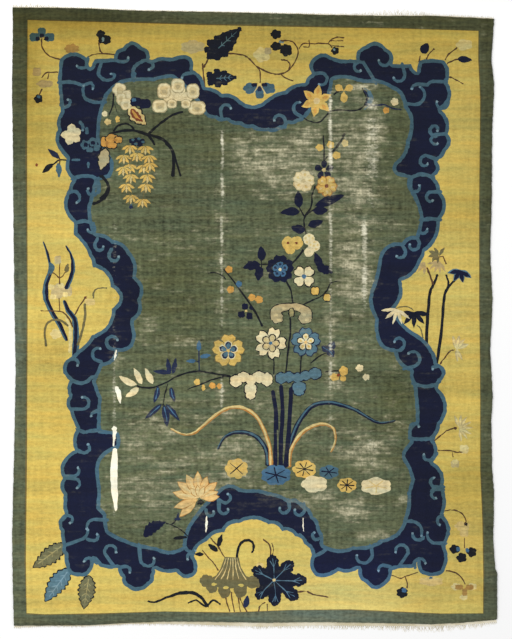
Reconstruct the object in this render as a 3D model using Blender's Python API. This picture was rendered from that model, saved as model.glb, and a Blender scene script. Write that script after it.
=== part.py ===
"""A hand-knotted Chinese rug, laid flat on the floor.

The pile carpet is one solid of its uneven outline, creased where it was folded for
years. At each end the bare warps stick out of a narrow plain-woven strip as a short
ragged fringe. Metres, +Z up, +Y towards the rug's top end, the origin under its middle.
"""

import math
import random

import bmesh
import bpy

# The carpet
RUG_WIDTH = 2.74
RUG_LENGTH = 3.49
RUG_THICKNESS = 0.009

# How far each edge stands in from the rectangle RUG_WIDTH x RUG_LENGTH.
# Columns: share of the way along the edge, inset in metres.
# The selvages run from the bottom end to the top end.
LEFT_SELVAGE = (
    (0.00, 0.011), (0.06, 0.004), (0.12, 0.000), (0.22, 0.005), (0.30, 0.015),
    (0.38, 0.021), (0.46, 0.013), (0.54, 0.016), (0.66, 0.011), (0.80, 0.006),
    (0.92, 0.005), (1.00, 0.000),
)
RIGHT_SELVAGE = (
    (0.00, 0.000), (0.06, 0.005), (0.10, 0.017), (0.17, 0.027), (0.22, 0.017),
    (0.28, 0.030), (0.34, 0.033), (0.38, 0.023), (0.42, 0.038), (0.53, 0.024),
    (0.60, 0.038), (0.68, 0.028), (0.75, 0.034), (0.84, 0.023), (0.88, 0.017),
    (0.92, 0.032), (1.00, 0.016),
)
# The ends run from the left selvage to the right one.
BOTTOM_END = (
    (0.00, 0.000), (0.18, 0.001), (0.26, 0.018), (0.32, 0.023), (0.50, 0.012),
    (0.62, 0.017), (0.74, 0.011), (0.83, 0.000), (0.91, 0.016), (1.00, 0.034),
)
TOP_END = (
    (0.00, 0.000), (0.10, 0.001), (0.25, 0.011), (0.34, 0.022), (0.58, 0.033),
    (0.71, 0.044), (0.79, 0.040), (0.88, 0.051), (1.00, 0.060),
)

# Creases of the old folds: shallow troughs in the pile, the full length or width long.
# Columns: share across the rug, depth in metres.
LENGTHWISE_CREASES = ((0.208, 0.0040), (0.433, 0.0025), (0.656, 0.0035))
CROSSWISE_CREASES = ((0.235, 0.0015), (0.530, 0.0015), (0.825, 0.0015))
CREASE_HALF_WIDTH = 0.012

# The pile is worn a little lower along the outer edges.
EDGE_WEAR = 0.002
EDGE_WEAR_WIDTH = 0.020

# The grid between creases
COLUMN_SPACING = 0.14
ROW_SPACING = 0.14

# The plain-woven strips and the bare warps
STRIP_GAP = 0.0003
STRIP_THICKNESS = 0.003
WARP_ROOT_SHARE = 0.55
WARP_TIP_SHARE = 0.5
WARP_BEND = 0.5
WARP_SEED = 7
# Columns: share along the end, width of the strip, mean reach of the warps, in metres.
BOTTOM_FRINGE = (
    (0.00, 0.010, 0.008), (0.06, 0.004, 0.006), (0.24, 0.006, 0.008), (0.30, 0.012, 0.010),
    (0.50, 0.022, 0.012), (0.74, 0.018, 0.022), (0.86, 0.012, 0.030), (0.97, 0.014, 0.020),
    (1.00, 0.012, 0.010),
)
TOP_FRINGE = (
    (0.00, 0.004, 0.010), (0.04, 0.004, 0.018), (0.10, 0.004, 0.005), (0.45, 0.004, 0.004),
    (0.70, 0.004, 0.010), (0.79, 0.005, 0.028), (0.88, 0.004, 0.012), (0.97, 0.004, 0.016),
    (1.00, 0.004, 0.008),
)
BOTTOM_LOCKS = 100
TOP_LOCKS = 80

GREEN_WOOL = (0.155, 0.180, 0.105)
COTTON = (0.760, 0.700, 0.560)


def clear_scene():
    """Removes whatever the open file holds."""
    for thing in list(bpy.data.objects):
        bpy.data.objects.remove(thing, do_unlink=True)


def plain_material(name, colour, roughness):
    """A Principled material of one colour."""
    material = bpy.data.materials.new(name)
    material.use_nodes = True
    shader = material.node_tree.nodes["Principled BSDF"]
    shader.inputs["Base Color"].default_value = (*colour, 1.0)
    shader.inputs["Roughness"].default_value = roughness
    shader.inputs["Metallic"].default_value = 0.0
    return material


def read_along(table, share, column=1):
    """The table's value at this share of the way, eased between its rows."""
    for before, after in zip(table, table[1:]):
        if share <= after[0]:
            part = (share - before[0]) / (after[0] - before[0])
            eased = 0.5 - 0.5 * math.cos(math.pi * min(max(part, 0.0), 1.0))
            return before[column] + (after[column] - before[column]) * eased
    return table[-1][column]


def corner(right, top):
    """One corner of the carpet; right and top are 0 or 1."""
    side = RIGHT_SELVAGE if right else LEFT_SELVAGE
    end = TOP_END if top else BOTTOM_END
    x = RUG_WIDTH / 2 - read_along(side, top)
    y = RUG_LENGTH / 2 - read_along(end, right)
    return (x if right else -x), (y if top else -y)


def end_point(top, u):
    """A point of the bottom or top end, u of the way from left to right."""
    left, right = corner(0, top), corner(1, top)
    inset = read_along(TOP_END if top else BOTTOM_END, u)
    y = RUG_LENGTH / 2 - inset
    return left[0] + (right[0] - left[0]) * u, (y if top else -y)


def selvage_point(right, v):
    """A point of the left or right selvage, v of the way from bottom to top."""
    low, high = corner(right, 0), corner(right, 1)
    inset = read_along(RIGHT_SELVAGE if right else LEFT_SELVAGE, v)
    x = RUG_WIDTH / 2 - inset
    return (x if right else -x), low[1] + (high[1] - low[1]) * v


def carpet_point(u, v):
    """The place of (u, v), both from 0 to 1, blended from the four uneven edges."""
    bottom, top = end_point(0, u), end_point(1, u)
    left, right = selvage_point(0, v), selvage_point(1, v)
    corners = (corner(0, 0), corner(1, 0), corner(0, 1), corner(1, 1))
    weights = ((1 - u) * (1 - v), u * (1 - v), (1 - u) * v, u * v)
    place = []
    for axis in (0, 1):
        ruled = (1 - v) * bottom[axis] + v * top[axis]
        ruled += (1 - u) * left[axis] + u * right[axis]
        ruled -= sum(w * c[axis] for w, c in zip(weights, corners))
        place.append(ruled)
    return tuple(place)


def crease_depth(share, length, creases):
    """How deep the creases across this direction are, at this share of it."""
    depth = 0.0
    for middle, deepest in creases:
        away = abs(share - middle) * length
        depth += deepest * max(0.0, 1.0 - away / CREASE_HALF_WIDTH)
    return depth


def edge_wear(u, v):
    """How much lower the pile is near the nearest edge."""
    away = min(min(u, 1 - u) * RUG_WIDTH, min(v, 1 - v) * RUG_LENGTH)
    return EDGE_WEAR * max(0.0, 1.0 - away / EDGE_WEAR_WIDTH)


def stations(length, spacing, creases):
    """Shares at which the grid has lines: even ones, the creases and the worn edges."""
    count = round(length / spacing)
    half = CREASE_HALF_WIDTH / length
    shares = [i / count for i in range(count + 1)]
    clear = 2 * half
    for middle, _ in creases:
        shares = [s for s in shares if abs(s - middle) > clear]
        shares += [middle - half, middle, middle + half]
    shares += [EDGE_WEAR_WIDTH / length, 1 - EDGE_WEAR_WIDTH / length]
    return sorted(shares)


def edge_place(top, u, columns):
    """The place u of the way along the carpet's end, on its straight stretches."""
    for before, after in zip(columns, columns[1:]):
        if u <= after:
            part = (u - before) / (after - before)
            start, stop = end_point(top, before), end_point(top, after)
            return tuple(a + (b - a) * part for a, b in zip(start, stop))
    return end_point(top, 1.0)


def strip_edge(top, shares):
    """The strip's inner edge at these shares, clear of the carpet everywhere between them."""
    columns = stations(RUG_WIDTH, COLUMN_SPACING, LENGTHWISE_CREASES)
    outward = 1 if top else -1
    places = [list(edge_place(top, u, columns)) for u in shares]
    clearance = [STRIP_GAP] * len(shares)
    for i, (before, after) in enumerate(zip(shares, shares[1:])):
        for column in (c for c in columns if before < c < after):
            part = (column - before) / (after - before)
            chord = places[i][1] + (places[i + 1][1] - places[i][1]) * part
            bulge = (end_point(top, column)[1] - chord) * outward
            for j in (i, i + 1):
                clearance[j] = max(clearance[j], STRIP_GAP + bulge)
    return [(x, y + outward * clear) for (x, y), clear in zip(places, clearance)]


def close_downwards(mesh, faces):
    """Gives a sheet of faces its walls and a flat underside at z = 0."""
    made = bmesh.ops.extrude_face_region(mesh, geom=faces, use_keep_orig=True)
    for vert in made["geom"]:
        if isinstance(vert, bmesh.types.BMVert):
            vert.co.z = 0.0
    bmesh.ops.recalc_face_normals(mesh, faces=mesh.faces[:])


def finish_object(name, mesh, material):
    """Makes the named object from a bmesh."""
    data = bpy.data.meshes.new(name)
    mesh.to_mesh(data)
    mesh.free()
    data.materials.append(material)
    made = bpy.data.objects.new(name, data)
    bpy.context.scene.collection.objects.link(made)
    return made


def build_carpet(material):
    """The knotted carpet: a creased top over a flat underside."""
    columns = stations(RUG_WIDTH, COLUMN_SPACING, LENGTHWISE_CREASES)
    rows = stations(RUG_LENGTH, ROW_SPACING, CROSSWISE_CREASES)
    mesh = bmesh.new()
    bmesh.ops.create_grid(
        mesh, x_segments=len(columns) - 1, y_segments=len(rows) - 1, size=1.0
    )
    for vert in mesh.verts:
        u = columns[round((vert.co.x + 1) / 2 * (len(columns) - 1))]
        v = rows[round((vert.co.y + 1) / 2 * (len(rows) - 1))]
        x, y = carpet_point(u, v)
        lower = crease_depth(u, RUG_WIDTH, LENGTHWISE_CREASES)
        lower = max(lower, crease_depth(v, RUG_LENGTH, CROSSWISE_CREASES), edge_wear(u, v))
        vert.co = (x, y, RUG_THICKNESS - lower)
    close_downwards(mesh, mesh.faces[:])
    return finish_object("carpet", mesh, material)


def build_fringe(name, top, table, locks, material):
    """One end's plain-woven strip with its ragged warps, lying on the floor.

    The strip is a row of cells, and the outer side of every second cell runs on as one
    lock of warps, in two lengths, the outer one thinner and bent aside.
    """
    outward = 1 if top else -1
    dice = random.Random(WARP_SEED + top)
    mesh = bmesh.new()
    cells = 2 * locks + 1
    shares = [0.0, 1.0]
    for i in range(1, cells):
        gap_side = 0.5 * (1 - WARP_ROOT_SHARE) * (1 if i % 2 else -1)
        shares.insert(i, (i + gap_side) / cells)
    inner, outer = [], []
    for u, (x, y) in zip(shares, strip_edge(top, shares)):
        width = outward * read_along(table, u, 1)
        inner.append(mesh.verts.new((x, y, STRIP_THICKNESS)))
        outer.append(mesh.verts.new((x, y + width, STRIP_THICKNESS)))
    for i in range(cells):
        mesh.faces.new((inner[i], inner[i + 1], outer[i + 1], outer[i]))
    for i in range(1, cells, 2):
        u = (i + 0.5) / cells
        reach = read_along(table, u, 2) * dice.uniform(0.4, 1.5)
        aside = WARP_BEND * reach * dice.uniform(-1.0, 1.0)
        root = (outer[i], outer[i + 1])
        middle = (root[0].co + root[1].co) / 2
        previous = root
        for part, thin in ((0.5, 0.8), (1.0, WARP_TIP_SHARE)):
            ring = []
            for vert in root:
                across = (vert.co.x - middle.x) * thin
                place = (middle.x + across + aside * part * part, vert.co.y + outward * reach * part)
                ring.append(mesh.verts.new((*place, STRIP_THICKNESS)))
            mesh.faces.new((previous[0], previous[1], ring[1], ring[0]))
            previous = tuple(ring)
    close_downwards(mesh, mesh.faces[:])
    return finish_object(name, mesh, material)


def centre_on_origin(parts):
    """Moves the meshes so that the whole rug's box is centred over the origin."""
    places = [vert.co for part in parts for vert in part.data.vertices]
    shift_x = -(min(p.x for p in places) + max(p.x for p in places)) / 2
    shift_y = -(min(p.y for p in places) + max(p.y for p in places)) / 2
    for part in parts:
        for vert in part.data.vertices:
            vert.co.x += shift_x
            vert.co.y += shift_y


def main():
    """Builds the rug."""
    clear_scene()
    wool = plain_material("green_wool", GREEN_WOOL, 0.9)
    cotton = plain_material("undyed_cotton", COTTON, 0.85)
    carpet = build_carpet(wool)
    bottom = build_fringe("fringe_bottom", 0, BOTTOM_FRINGE, BOTTOM_LOCKS, cotton)
    top = build_fringe("fringe_top", 1, TOP_FRINGE, TOP_LOCKS, cotton)
    centre_on_origin((carpet, bottom, top))


main()
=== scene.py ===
"""Dresses the hand-knotted Chinese rug: its pattern, its worn wool and its ragged ends.

The pattern is drawn on a plan, whose unit is one pixel of the reference photograph, since
its places were read off enlarged pieces of it. The plan's x runs to the rug's right
and its y down from the rug's top end. Every drawn shape is cut into one cloth, so that each
facet of the pile has the dye of the topmost shape over it.
"""

from __future__ import annotations

import logging
import math
import random
from dataclasses import dataclass, field
from enum import Enum
from typing import Iterable, Sequence

import bmesh
import bpy
import numpy as np
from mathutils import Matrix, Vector, noise
from mathutils.geometry import delaunay_2d_cdt

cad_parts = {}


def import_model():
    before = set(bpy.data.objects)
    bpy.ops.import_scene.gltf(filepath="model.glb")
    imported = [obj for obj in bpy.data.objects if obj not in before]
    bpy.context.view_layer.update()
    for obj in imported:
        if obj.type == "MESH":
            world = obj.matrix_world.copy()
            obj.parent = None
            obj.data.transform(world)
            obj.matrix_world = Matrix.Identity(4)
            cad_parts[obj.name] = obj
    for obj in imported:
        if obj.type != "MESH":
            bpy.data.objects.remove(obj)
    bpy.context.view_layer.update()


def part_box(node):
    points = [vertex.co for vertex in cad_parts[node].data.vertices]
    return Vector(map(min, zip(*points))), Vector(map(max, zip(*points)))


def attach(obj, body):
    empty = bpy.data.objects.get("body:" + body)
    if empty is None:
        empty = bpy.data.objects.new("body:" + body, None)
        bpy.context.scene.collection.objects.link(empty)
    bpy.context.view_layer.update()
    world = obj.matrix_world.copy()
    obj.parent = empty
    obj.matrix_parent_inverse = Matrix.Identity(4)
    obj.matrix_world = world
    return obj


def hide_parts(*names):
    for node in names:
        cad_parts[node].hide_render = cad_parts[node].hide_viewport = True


LOG = logging.getLogger("rug")

# Metres to a pixel of the plan, and the place on the plan that lies over the carpet's middle
PLAN_UNIT = 0.00565
PLAN_MIDDLE = (254.6, 316.5)
# The photograph's frame on the plan: its middle and its height
IMAGE_MIDDLE = (256.0, 319.5)
IMAGE_HEIGHT_UNITS = 639.0
# Keeps a division away from zero
TINY = 1e-9

# A place on the plan, rows of places, and the lowest and highest corner of a piece
Place = Sequence[float]
Points = np.ndarray
Box = tuple[Vector, Vector]


def as_linear(colour: Sequence[float]) -> tuple[float, float, float, float]:
    """Turns a display colour into the renderer's linear colour.

    Args:
        colour: red, green and blue from 0 to 255.

    Returns:
        The linear red, green, blue and an alpha of 1.
    """
    share = [max(c, 0.0) / 255.0 for c in colour[:3]]
    linear = [s / 12.92 if s <= 0.04045 else ((s + 0.055) / 1.055) ** 2.4 for s in share]
    return (*linear, 1.0)


class Dye(Enum):
    """The wools of the pile and the bare foundation, as display colours."""

    GOLD = (202, 179, 93)
    BAND_GREEN = (86, 92, 70)
    # A thin dark brown line round the gold
    GOLD_RIM_BROWN = (108, 96, 58)
    FIELD_GREEN = (88, 95, 69)
    NAVY = (18, 23, 47)
    INDIGO = (33, 42, 68)
    BLUE = (66, 96, 110)
    BRIGHT_BLUE = (66, 102, 130)
    TEAL = (82, 112, 124)
    PALE_BLUE = (114, 141, 152)
    CREAM = (216, 203, 160)
    TAUPE = (168, 156, 118)
    WHEAT = (194, 178, 132)
    HONEY = (214, 190, 134)
    PEACH = (214, 180, 118)
    SAND = (205, 184, 124)
    BRASS = (205, 172, 92)
    ORANGE = (196, 148, 74)
    AMBER = (168, 120, 60)
    OLIVE = (106, 99, 66)
    MOSS = (106, 105, 76)
    UMBER = (22, 25, 31)
    INK = (18, 23, 38)
    TWIG = (86, 62, 42)
    RUST = (122, 64, 42)
    FADED_RUST = (168, 132, 72)
    FADED_PINK = (206, 182, 116)
    FADED_CREAM = (211, 196, 135)
    FADED_GREY = (182, 168, 122)
    FADED_TAN = (172, 150, 101)
    SAGE = (150, 142, 98)
    BONE = (240, 235, 212)


def points_of(values: Iterable[Place]) -> Points:
    """Makes an array of plan points."""
    return np.array([tuple(v) for v in values], dtype=float)


def curve_through(points: Sequence[Place], steps: int = 4) -> Points:
    """Draws a smooth line through points.

    Args:
        points: places on the plan.
        steps: short pieces between two points.

    Returns:
        The points of the smooth line.
    """
    knots = points_of(points)
    count = len(knots)
    if count < 3:
        return knots
    drawn = []
    for i in range(count - 1):
        a, b, c, d = knots[[min(max(i + k, 0), count - 1) for k in (-1, 0, 1, 2)]]
        for s in range(steps):
            t = s / steps
            drawn.append(
                0.5 * (2 * b + (c - a) * t + (2 * a - 5 * b + 4 * c - d) * t**2
                       + (3 * b - a - 3 * c + d) * t**3)
            )
    drawn.append(knots[-1])
    return np.array(drawn)


def band_along(line: Points, widths: Sequence[float], cap: float = 0.8) -> Points:
    """Outlines a band of changing width along a line.

    Args:
        line: the band's middle.
        widths: widths at even shares of the way.
        cap: how far a blunt point stands out at both ends, as a share of the half width.

    Returns:
        The closed outline.
    """
    along = np.gradient(line, axis=0)
    length = np.maximum(np.hypot(along[:, 0], along[:, 1]), TINY)[:, None]
    along = along / length
    across = np.stack([-along[:, 1], along[:, 0]], axis=1)
    steps = np.hypot(*np.diff(line, axis=0).T)
    share = np.concatenate([[0.0], np.cumsum(steps)]) / max(steps.sum(), TINY)
    half = np.interp(share, np.linspace(0, 1, len(widths)), widths)[:, None] / 2
    left, right = line + across * half, line - across * half
    cap_end = line[-1] + along[-1] * half[-1] * cap
    cap_start = line[0] - along[0] * half[0] * cap
    return np.concatenate([left, [cap_end], right[::-1], [cap_start]])


def around(x: float, y: float, reach: float, degrees: float) -> tuple[float, float]:
    """The point at this reach and direction; 0 is right and 90 is down the plan."""
    turn = math.radians(degrees)
    return x + reach * math.cos(turn), y + reach * math.sin(turn)


def oval(x: float, y: float, half_x: float, half_y: float, turn: float = 0.0, sides: int = 12) -> Points:
    """Outlines an oval.

    Args:
        x, y: its middle on the plan.
        half_x, half_y: half its width and height.
        turn: how far it is turned, in degrees.
        sides: straight pieces round it.

    Returns:
        The closed outline.
    """
    angle = np.linspace(0, 2 * math.pi, sides, endpoint=False)
    local = np.stack([half_x * np.cos(angle), half_y * np.sin(angle)], axis=1)
    c, s = math.cos(math.radians(turn)), math.sin(math.radians(turn))
    return local @ np.array([[c, s], [-s, c]]) + (x, y)


def petal(x: float, y: float, length: float, width: float, turn: float, point: float = 0.0) -> Points:
    """Outlines a petal that grows from (x, y).

    Args:
        x, y: its root on the plan.
        length: from root to tip.
        width: at its widest.
        turn: direction in degrees.
        point: 0 for a round tip, 1 for a sharp one.

    Returns:
        The closed outline.
    """
    shares = np.linspace(0, 1, 8)
    widest = 0.62 - 0.12 * point
    body = np.sin(math.pi * shares ** (math.log(0.5) / math.log(widest)))
    round_end = np.sqrt(np.clip(1 - ((shares - widest) / (1.0001 - widest)) ** 2, 0, 1))
    half = np.where(shares > widest, (1 - point) * round_end + point * body**1.2, body) * width / 2
    upper = np.stack([shares * length, half], axis=1)
    local = np.concatenate([upper, (upper * (1, -1))[-2:0:-1]])
    c, s = math.cos(math.radians(turn)), math.sin(math.radians(turn))
    return local @ np.array([[c, s], [-s, c]]) + (x, y)


def pad(x: float, y: float, half_x: float, half_y: float, lobes: int, depth: float = 0.14) -> Points:
    """Outlines a scalloped oval.

    Args:
        x, y: its middle on the plan.
        half_x, half_y: half its width and height.
        lobes: how many, even round it.
        depth: how deep the notches cut, as a share of the reach.

    Returns:
        The closed outline.
    """
    angle = np.linspace(0, 2 * math.pi, lobes * 5, endpoint=False)
    reach = 1 - depth + depth * np.abs(np.sin(angle * lobes / 2))
    return np.stack([x + half_x * reach * np.cos(angle), y + half_y * reach * np.sin(angle)], axis=1)


def leaf(root: Place, tip: Place, width: float, bend: float = 0.0, teeth: int = 0) -> Points:
    """Outlines a leaf between two points.

    Args:
        root: where its stem meets it.
        tip: its pointed end.
        width: at its widest.
        bend: how far its middle swings to the side.
        teeth: notches along each edge.

    Returns:
        The closed outline.
    """
    start, stop = np.array(root, dtype=float), np.array(tip, dtype=float)
    along = stop - start
    across = np.array([-along[1], along[0]]) / max(np.hypot(*along), TINY)
    shares = np.linspace(0, 1, 9 + teeth * 4)
    middle = start + np.outer(shares, along) + np.outer(4 * bend * shares * (1 - shares), across)
    half = np.sin(math.pi * shares**0.8) ** 0.8 * width / 2
    if teeth:
        half = half * (0.84 + 0.32 * np.abs(np.sin(math.pi * shares * (teeth + 0.5))))
    side = np.outer(half, across)
    return np.concatenate([middle + side, (middle - side)[-2:0:-1]])


def scallops(rows: Sequence[tuple[float, float, float]]) -> Points:
    """Draws a closed outline of arcs.

    Args:
        rows: x, y and how far the arc that ends there stands out of the outline.

    Returns:
        The outline, clockwise on the plan.
    """
    drawn: list[tuple[float, float]] = []
    for (ax, ay, _), (bx, by, rise) in zip(rows, (*rows[1:], rows[0])):
        dx, dy = bx - ax, by - ay
        chord = math.hypot(dx, dy)
        count = max(2, round(chord / 3.2 + abs(rise) / 1.5))
        for step in range(count):
            t = step / count
            lift = 4 * rise * t * (1 - t)
            drawn.append((ax + dx * t + dy / chord * lift, ay + dy * t - dx / chord * lift))
    return np.array(drawn)


def offset_outline(outline: Points, inward: float) -> Points:
    """Moves a clockwise outline inwards, with round joints at its corners.

    Args:
        outline: the closed outline.
        inward: how far, or outwards if negative.

    Returns:
        The moved outline, whose folded-over loops wind the other way.
    """
    moved = []
    count = len(outline)
    for i in range(count):
        before, here, after = outline[i - 1], outline[i], outline[(i + 1) % count]
        normals = []
        for start, stop in ((before, here), (here, after)):
            run = stop - start
            normals.append(np.array([-run[1], run[0]]) / max(np.hypot(*run), TINY))
        for share in (0.0, 0.5, 1.0):
            blend = normals[0] * (1 - share) + normals[1] * share
            moved.append(here + blend / max(np.hypot(*blend), 1e-6) * inward)
    return np.array(moved)


@dataclass
class Shape:
    """One dyed shape of the plan; only_forward drops the loops of a moved outline."""

    dye: Dye
    outline: Points
    only_forward: bool = False

    def covers(self, places: Points) -> np.ndarray:
        """Tells which places lie in the shape.

        Args:
            places: points on the plan.

        Returns:
            One truth value for each place.
        """
        low, high = self.outline.min(axis=0), self.outline.max(axis=0)
        near = np.flatnonzero(((places >= low) & (places <= high)).all(axis=1))
        inside = np.zeros(len(places), dtype=bool)
        if not len(near):
            return inside
        x, y = places[near, 0], places[near, 1]
        winding = np.zeros(len(near), dtype=int)
        for (ax, ay), (bx, by) in zip(self.outline, np.roll(self.outline, -1, axis=0)):
            if ay == by:
                continue
            up = (ay <= y) & (by > y)
            down = (by <= y) & (ay > y)
            cross = ax + (y - ay) * (bx - ax) / (by - ay)
            winding += (up & (cross > x)).astype(int) - (down & (cross > x)).astype(int)
        inside[near] = winding > 0 if self.only_forward else winding != 0
        return inside


@dataclass
class Cartoon:
    """The weaver's drawing: shapes from the lowest to the topmost."""

    shapes: list[Shape] = field(default_factory=list)
    wobble: float = 0.8
    wobble_pace: float = 0.9
    patch_rim: float = 1.0
    petal_rim: float = 0.9
    blade_rim: float = 0.6
    leaf_rim: float = 1.3
    heart_share: float = 0.2

    def add(self, dye: Dye, outline: Points, only_forward: bool = False) -> None:
        """Lays one shape over the others, its edge a little uneven as knots are.

        Args:
            dye: its wool.
            outline: its closed outline.
            only_forward: whether the loops of a moved outline are dropped.
        """
        places = np.asarray(outline, dtype=float)
        shifts = []
        for x, y in places * self.wobble_pace:
            shifts.append([noise.noise(Vector((x, y, layer))) for layer in (1.0, 6.0)])
        self.shapes.append(Shape(dye, places + np.array(shifts) * self.wobble, only_forward))

    def line(self, dye: Dye, points: Sequence[Place], *widths: float, steps: int = 4) -> None:
        """Draws a smooth stem or line of one or more widths."""
        widths = widths if len(widths) > 1 else widths * 2
        self.add(dye, band_along(curve_through(points, steps), widths))

    def oval(
        self, dye: Dye, x: float, y: float, half_x: float, half_y: float = 0.0, turn: float = 0.0,
    ) -> None:
        """Draws an oval, or a disc with one radius."""
        self.add(dye, oval(x, y, half_x, half_y or half_x, turn))

    def leaf(
        self, dye: Dye, root: Place, tip: Place, width: float, bend: float = 0.0,
        teeth: int = 0, rim: Dye | None = None, vein: Dye | None = None,
    ) -> None:
        """Draws a leaf with an optional rim and vein.

        Args:
            dye: its wool.
            root: where its stem meets it.
            tip: its pointed end.
            width: at its widest.
            bend: how far its middle swings to the side.
            teeth: notches along each edge.
            rim: wool of an outline round it.
            vein: wool of a middle vein.
        """
        if rim:
            grow = 1.2 / max(math.hypot(tip[0] - root[0], tip[1] - root[1]), 1.0)
            out = [(1 + grow) * t - grow * r for r, t in zip(root, tip)]
            back = [(1 + grow) * r - grow * t for r, t in zip(root, tip)]
            self.add(rim, leaf(back, out, width + 2 * self.leaf_rim, bend, teeth))
        self.add(dye, leaf(root, tip, width, bend, teeth))
        if vein:
            middle = leaf(root, tip, 0.01, bend)
            ribs = middle[: len(middle) // 2 + 1]
            self.line(vein, ribs[1:-2], 1.1, 0.7, steps=1)

    def bloom(
        self, x: float, y: float, reach: float, petals: int, width: float, turn: float, point: float,
        cleft: float, dye: Dye, mark: Dye | None = None, heart: Dye | None = None, rim: Dye | None = None,
    ) -> None:
        """Draws a round flower of even petals.

        Args:
            x, y: its middle on the plan.
            reach: from the middle to a petal's tip.
            petals: how many.
            width: of one petal.
            turn: direction of the first petal in degrees.
            point: 0 for round petals, 1 for sharp ones.
            cleft: degrees that each petal's two halves stand apart, or 0 for a whole petal.
            dye: the petals' wool.
            mark: wool of a smaller petal inside each one.
            heart: wool of the middle.
            rim: wool of an outline round each petal.
        """
        turns = [turn + 360.0 * i / petals for i in range(petals)]
        halves = (-cleft, cleft) if cleft else (0.0,)
        for t in turns:
            for half in halves if rim else ():
                outer = (reach + self.petal_rim, width + 2 * self.petal_rim)
                self.add(rim, petal(x, y, *outer, t + half, point))
            for half in halves:
                self.add(dye, petal(x, y, reach, width, t + half, point))
        if mark:
            for t in turns:
                root = around(x, y, reach * 0.38, t)
                self.add(mark, petal(*root, reach * 0.42, width * 0.42, t, point))
        if heart:
            self.oval(heart, x, y, reach * self.heart_share)

    def fan(
        self, dye: Dye, x: float, y: float, reach: float, turns: Sequence[float], width: float,
        point: float = 0.6, rim: Dye | None = None,
    ) -> None:
        """Draws petals or blades that fan from one point.

        Args:
            dye: their wool.
            x, y: the point on the plan.
            reach: from the point to a tip.
            turns: each one's direction in degrees.
            width: of one petal.
            point: 0 for round tips, 1 for sharp ones.
            rim: wool of an outline round each one.
        """
        for t in turns:
            if rim:
                self.add(rim, petal(x, y, reach + self.blade_rim, width + 2 * self.blade_rim, t, point))
            self.add(dye, petal(x, y, reach, width, t, point))

    def lobe(
        self, dye: Dye, x: float, y: float, half_x: float, half_y: float, lobes: int = 5, depth: float = 0.14,
        rim: Dye | None = None,
    ) -> None:
        """Draws a scalloped patch.

        Args:
            dye: its wool.
            x, y: its middle on the plan.
            half_x, half_y: half its width and height.
            lobes: how many.
            depth: how deep the notches cut, as a share of the reach.
            rim: wool of an outline round it.
        """
        if rim:
            self.add(rim, pad(x, y, half_x + self.patch_rim, half_y + self.patch_rim, lobes, depth))
        self.add(dye, pad(x, y, half_x, half_y, lobes, depth))

    def cluster(self, dye: Dye, rim: Dye, rows: Sequence[tuple], lobes: int, depth: float) -> None:
        """Draws scalloped patches that grow together inside one rim.

        Args:
            dye: their wool.
            rim: wool of the outline round them.
            rows: each one's x, y, half width and half height.
            lobes: how many each one has.
            depth: how deep the notches cut, as a share of the reach.
        """
        for wool, grow in ((rim, self.patch_rim), (dye, 0.0)):
            for x, y, half_x, half_y in rows:
                self.add(wool, pad(x, y, half_x + grow, half_y + grow, lobes, depth))

    def ribs(self, dye: Dye, root: Place, tip: Place, width: float, count: int) -> None:
        """Draws a leaf's middle vein and its side ribs.

        Args:
            dye: their wool.
            root: where the vein starts.
            tip: where it ends.
            width: of the leaf that they lie in.
            count: ribs on each side.
        """
        self.line(dye, (root, tip), 1.2, 0.6)
        turn = math.degrees(math.atan2(tip[1] - root[1], tip[0] - root[0]))
        for i in range(count):
            share = (i + 0.6) / (count + 0.6)
            x, y = (r + (t - r) * share for r, t in zip(root, tip))
            reach = width * (0.42 - 0.2 * abs(share - 0.45))
            for side in (-48, 48):
                self.line(dye, ((x, y), around(x, y, reach, turn + side)), 0.9, 0.5)


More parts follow.
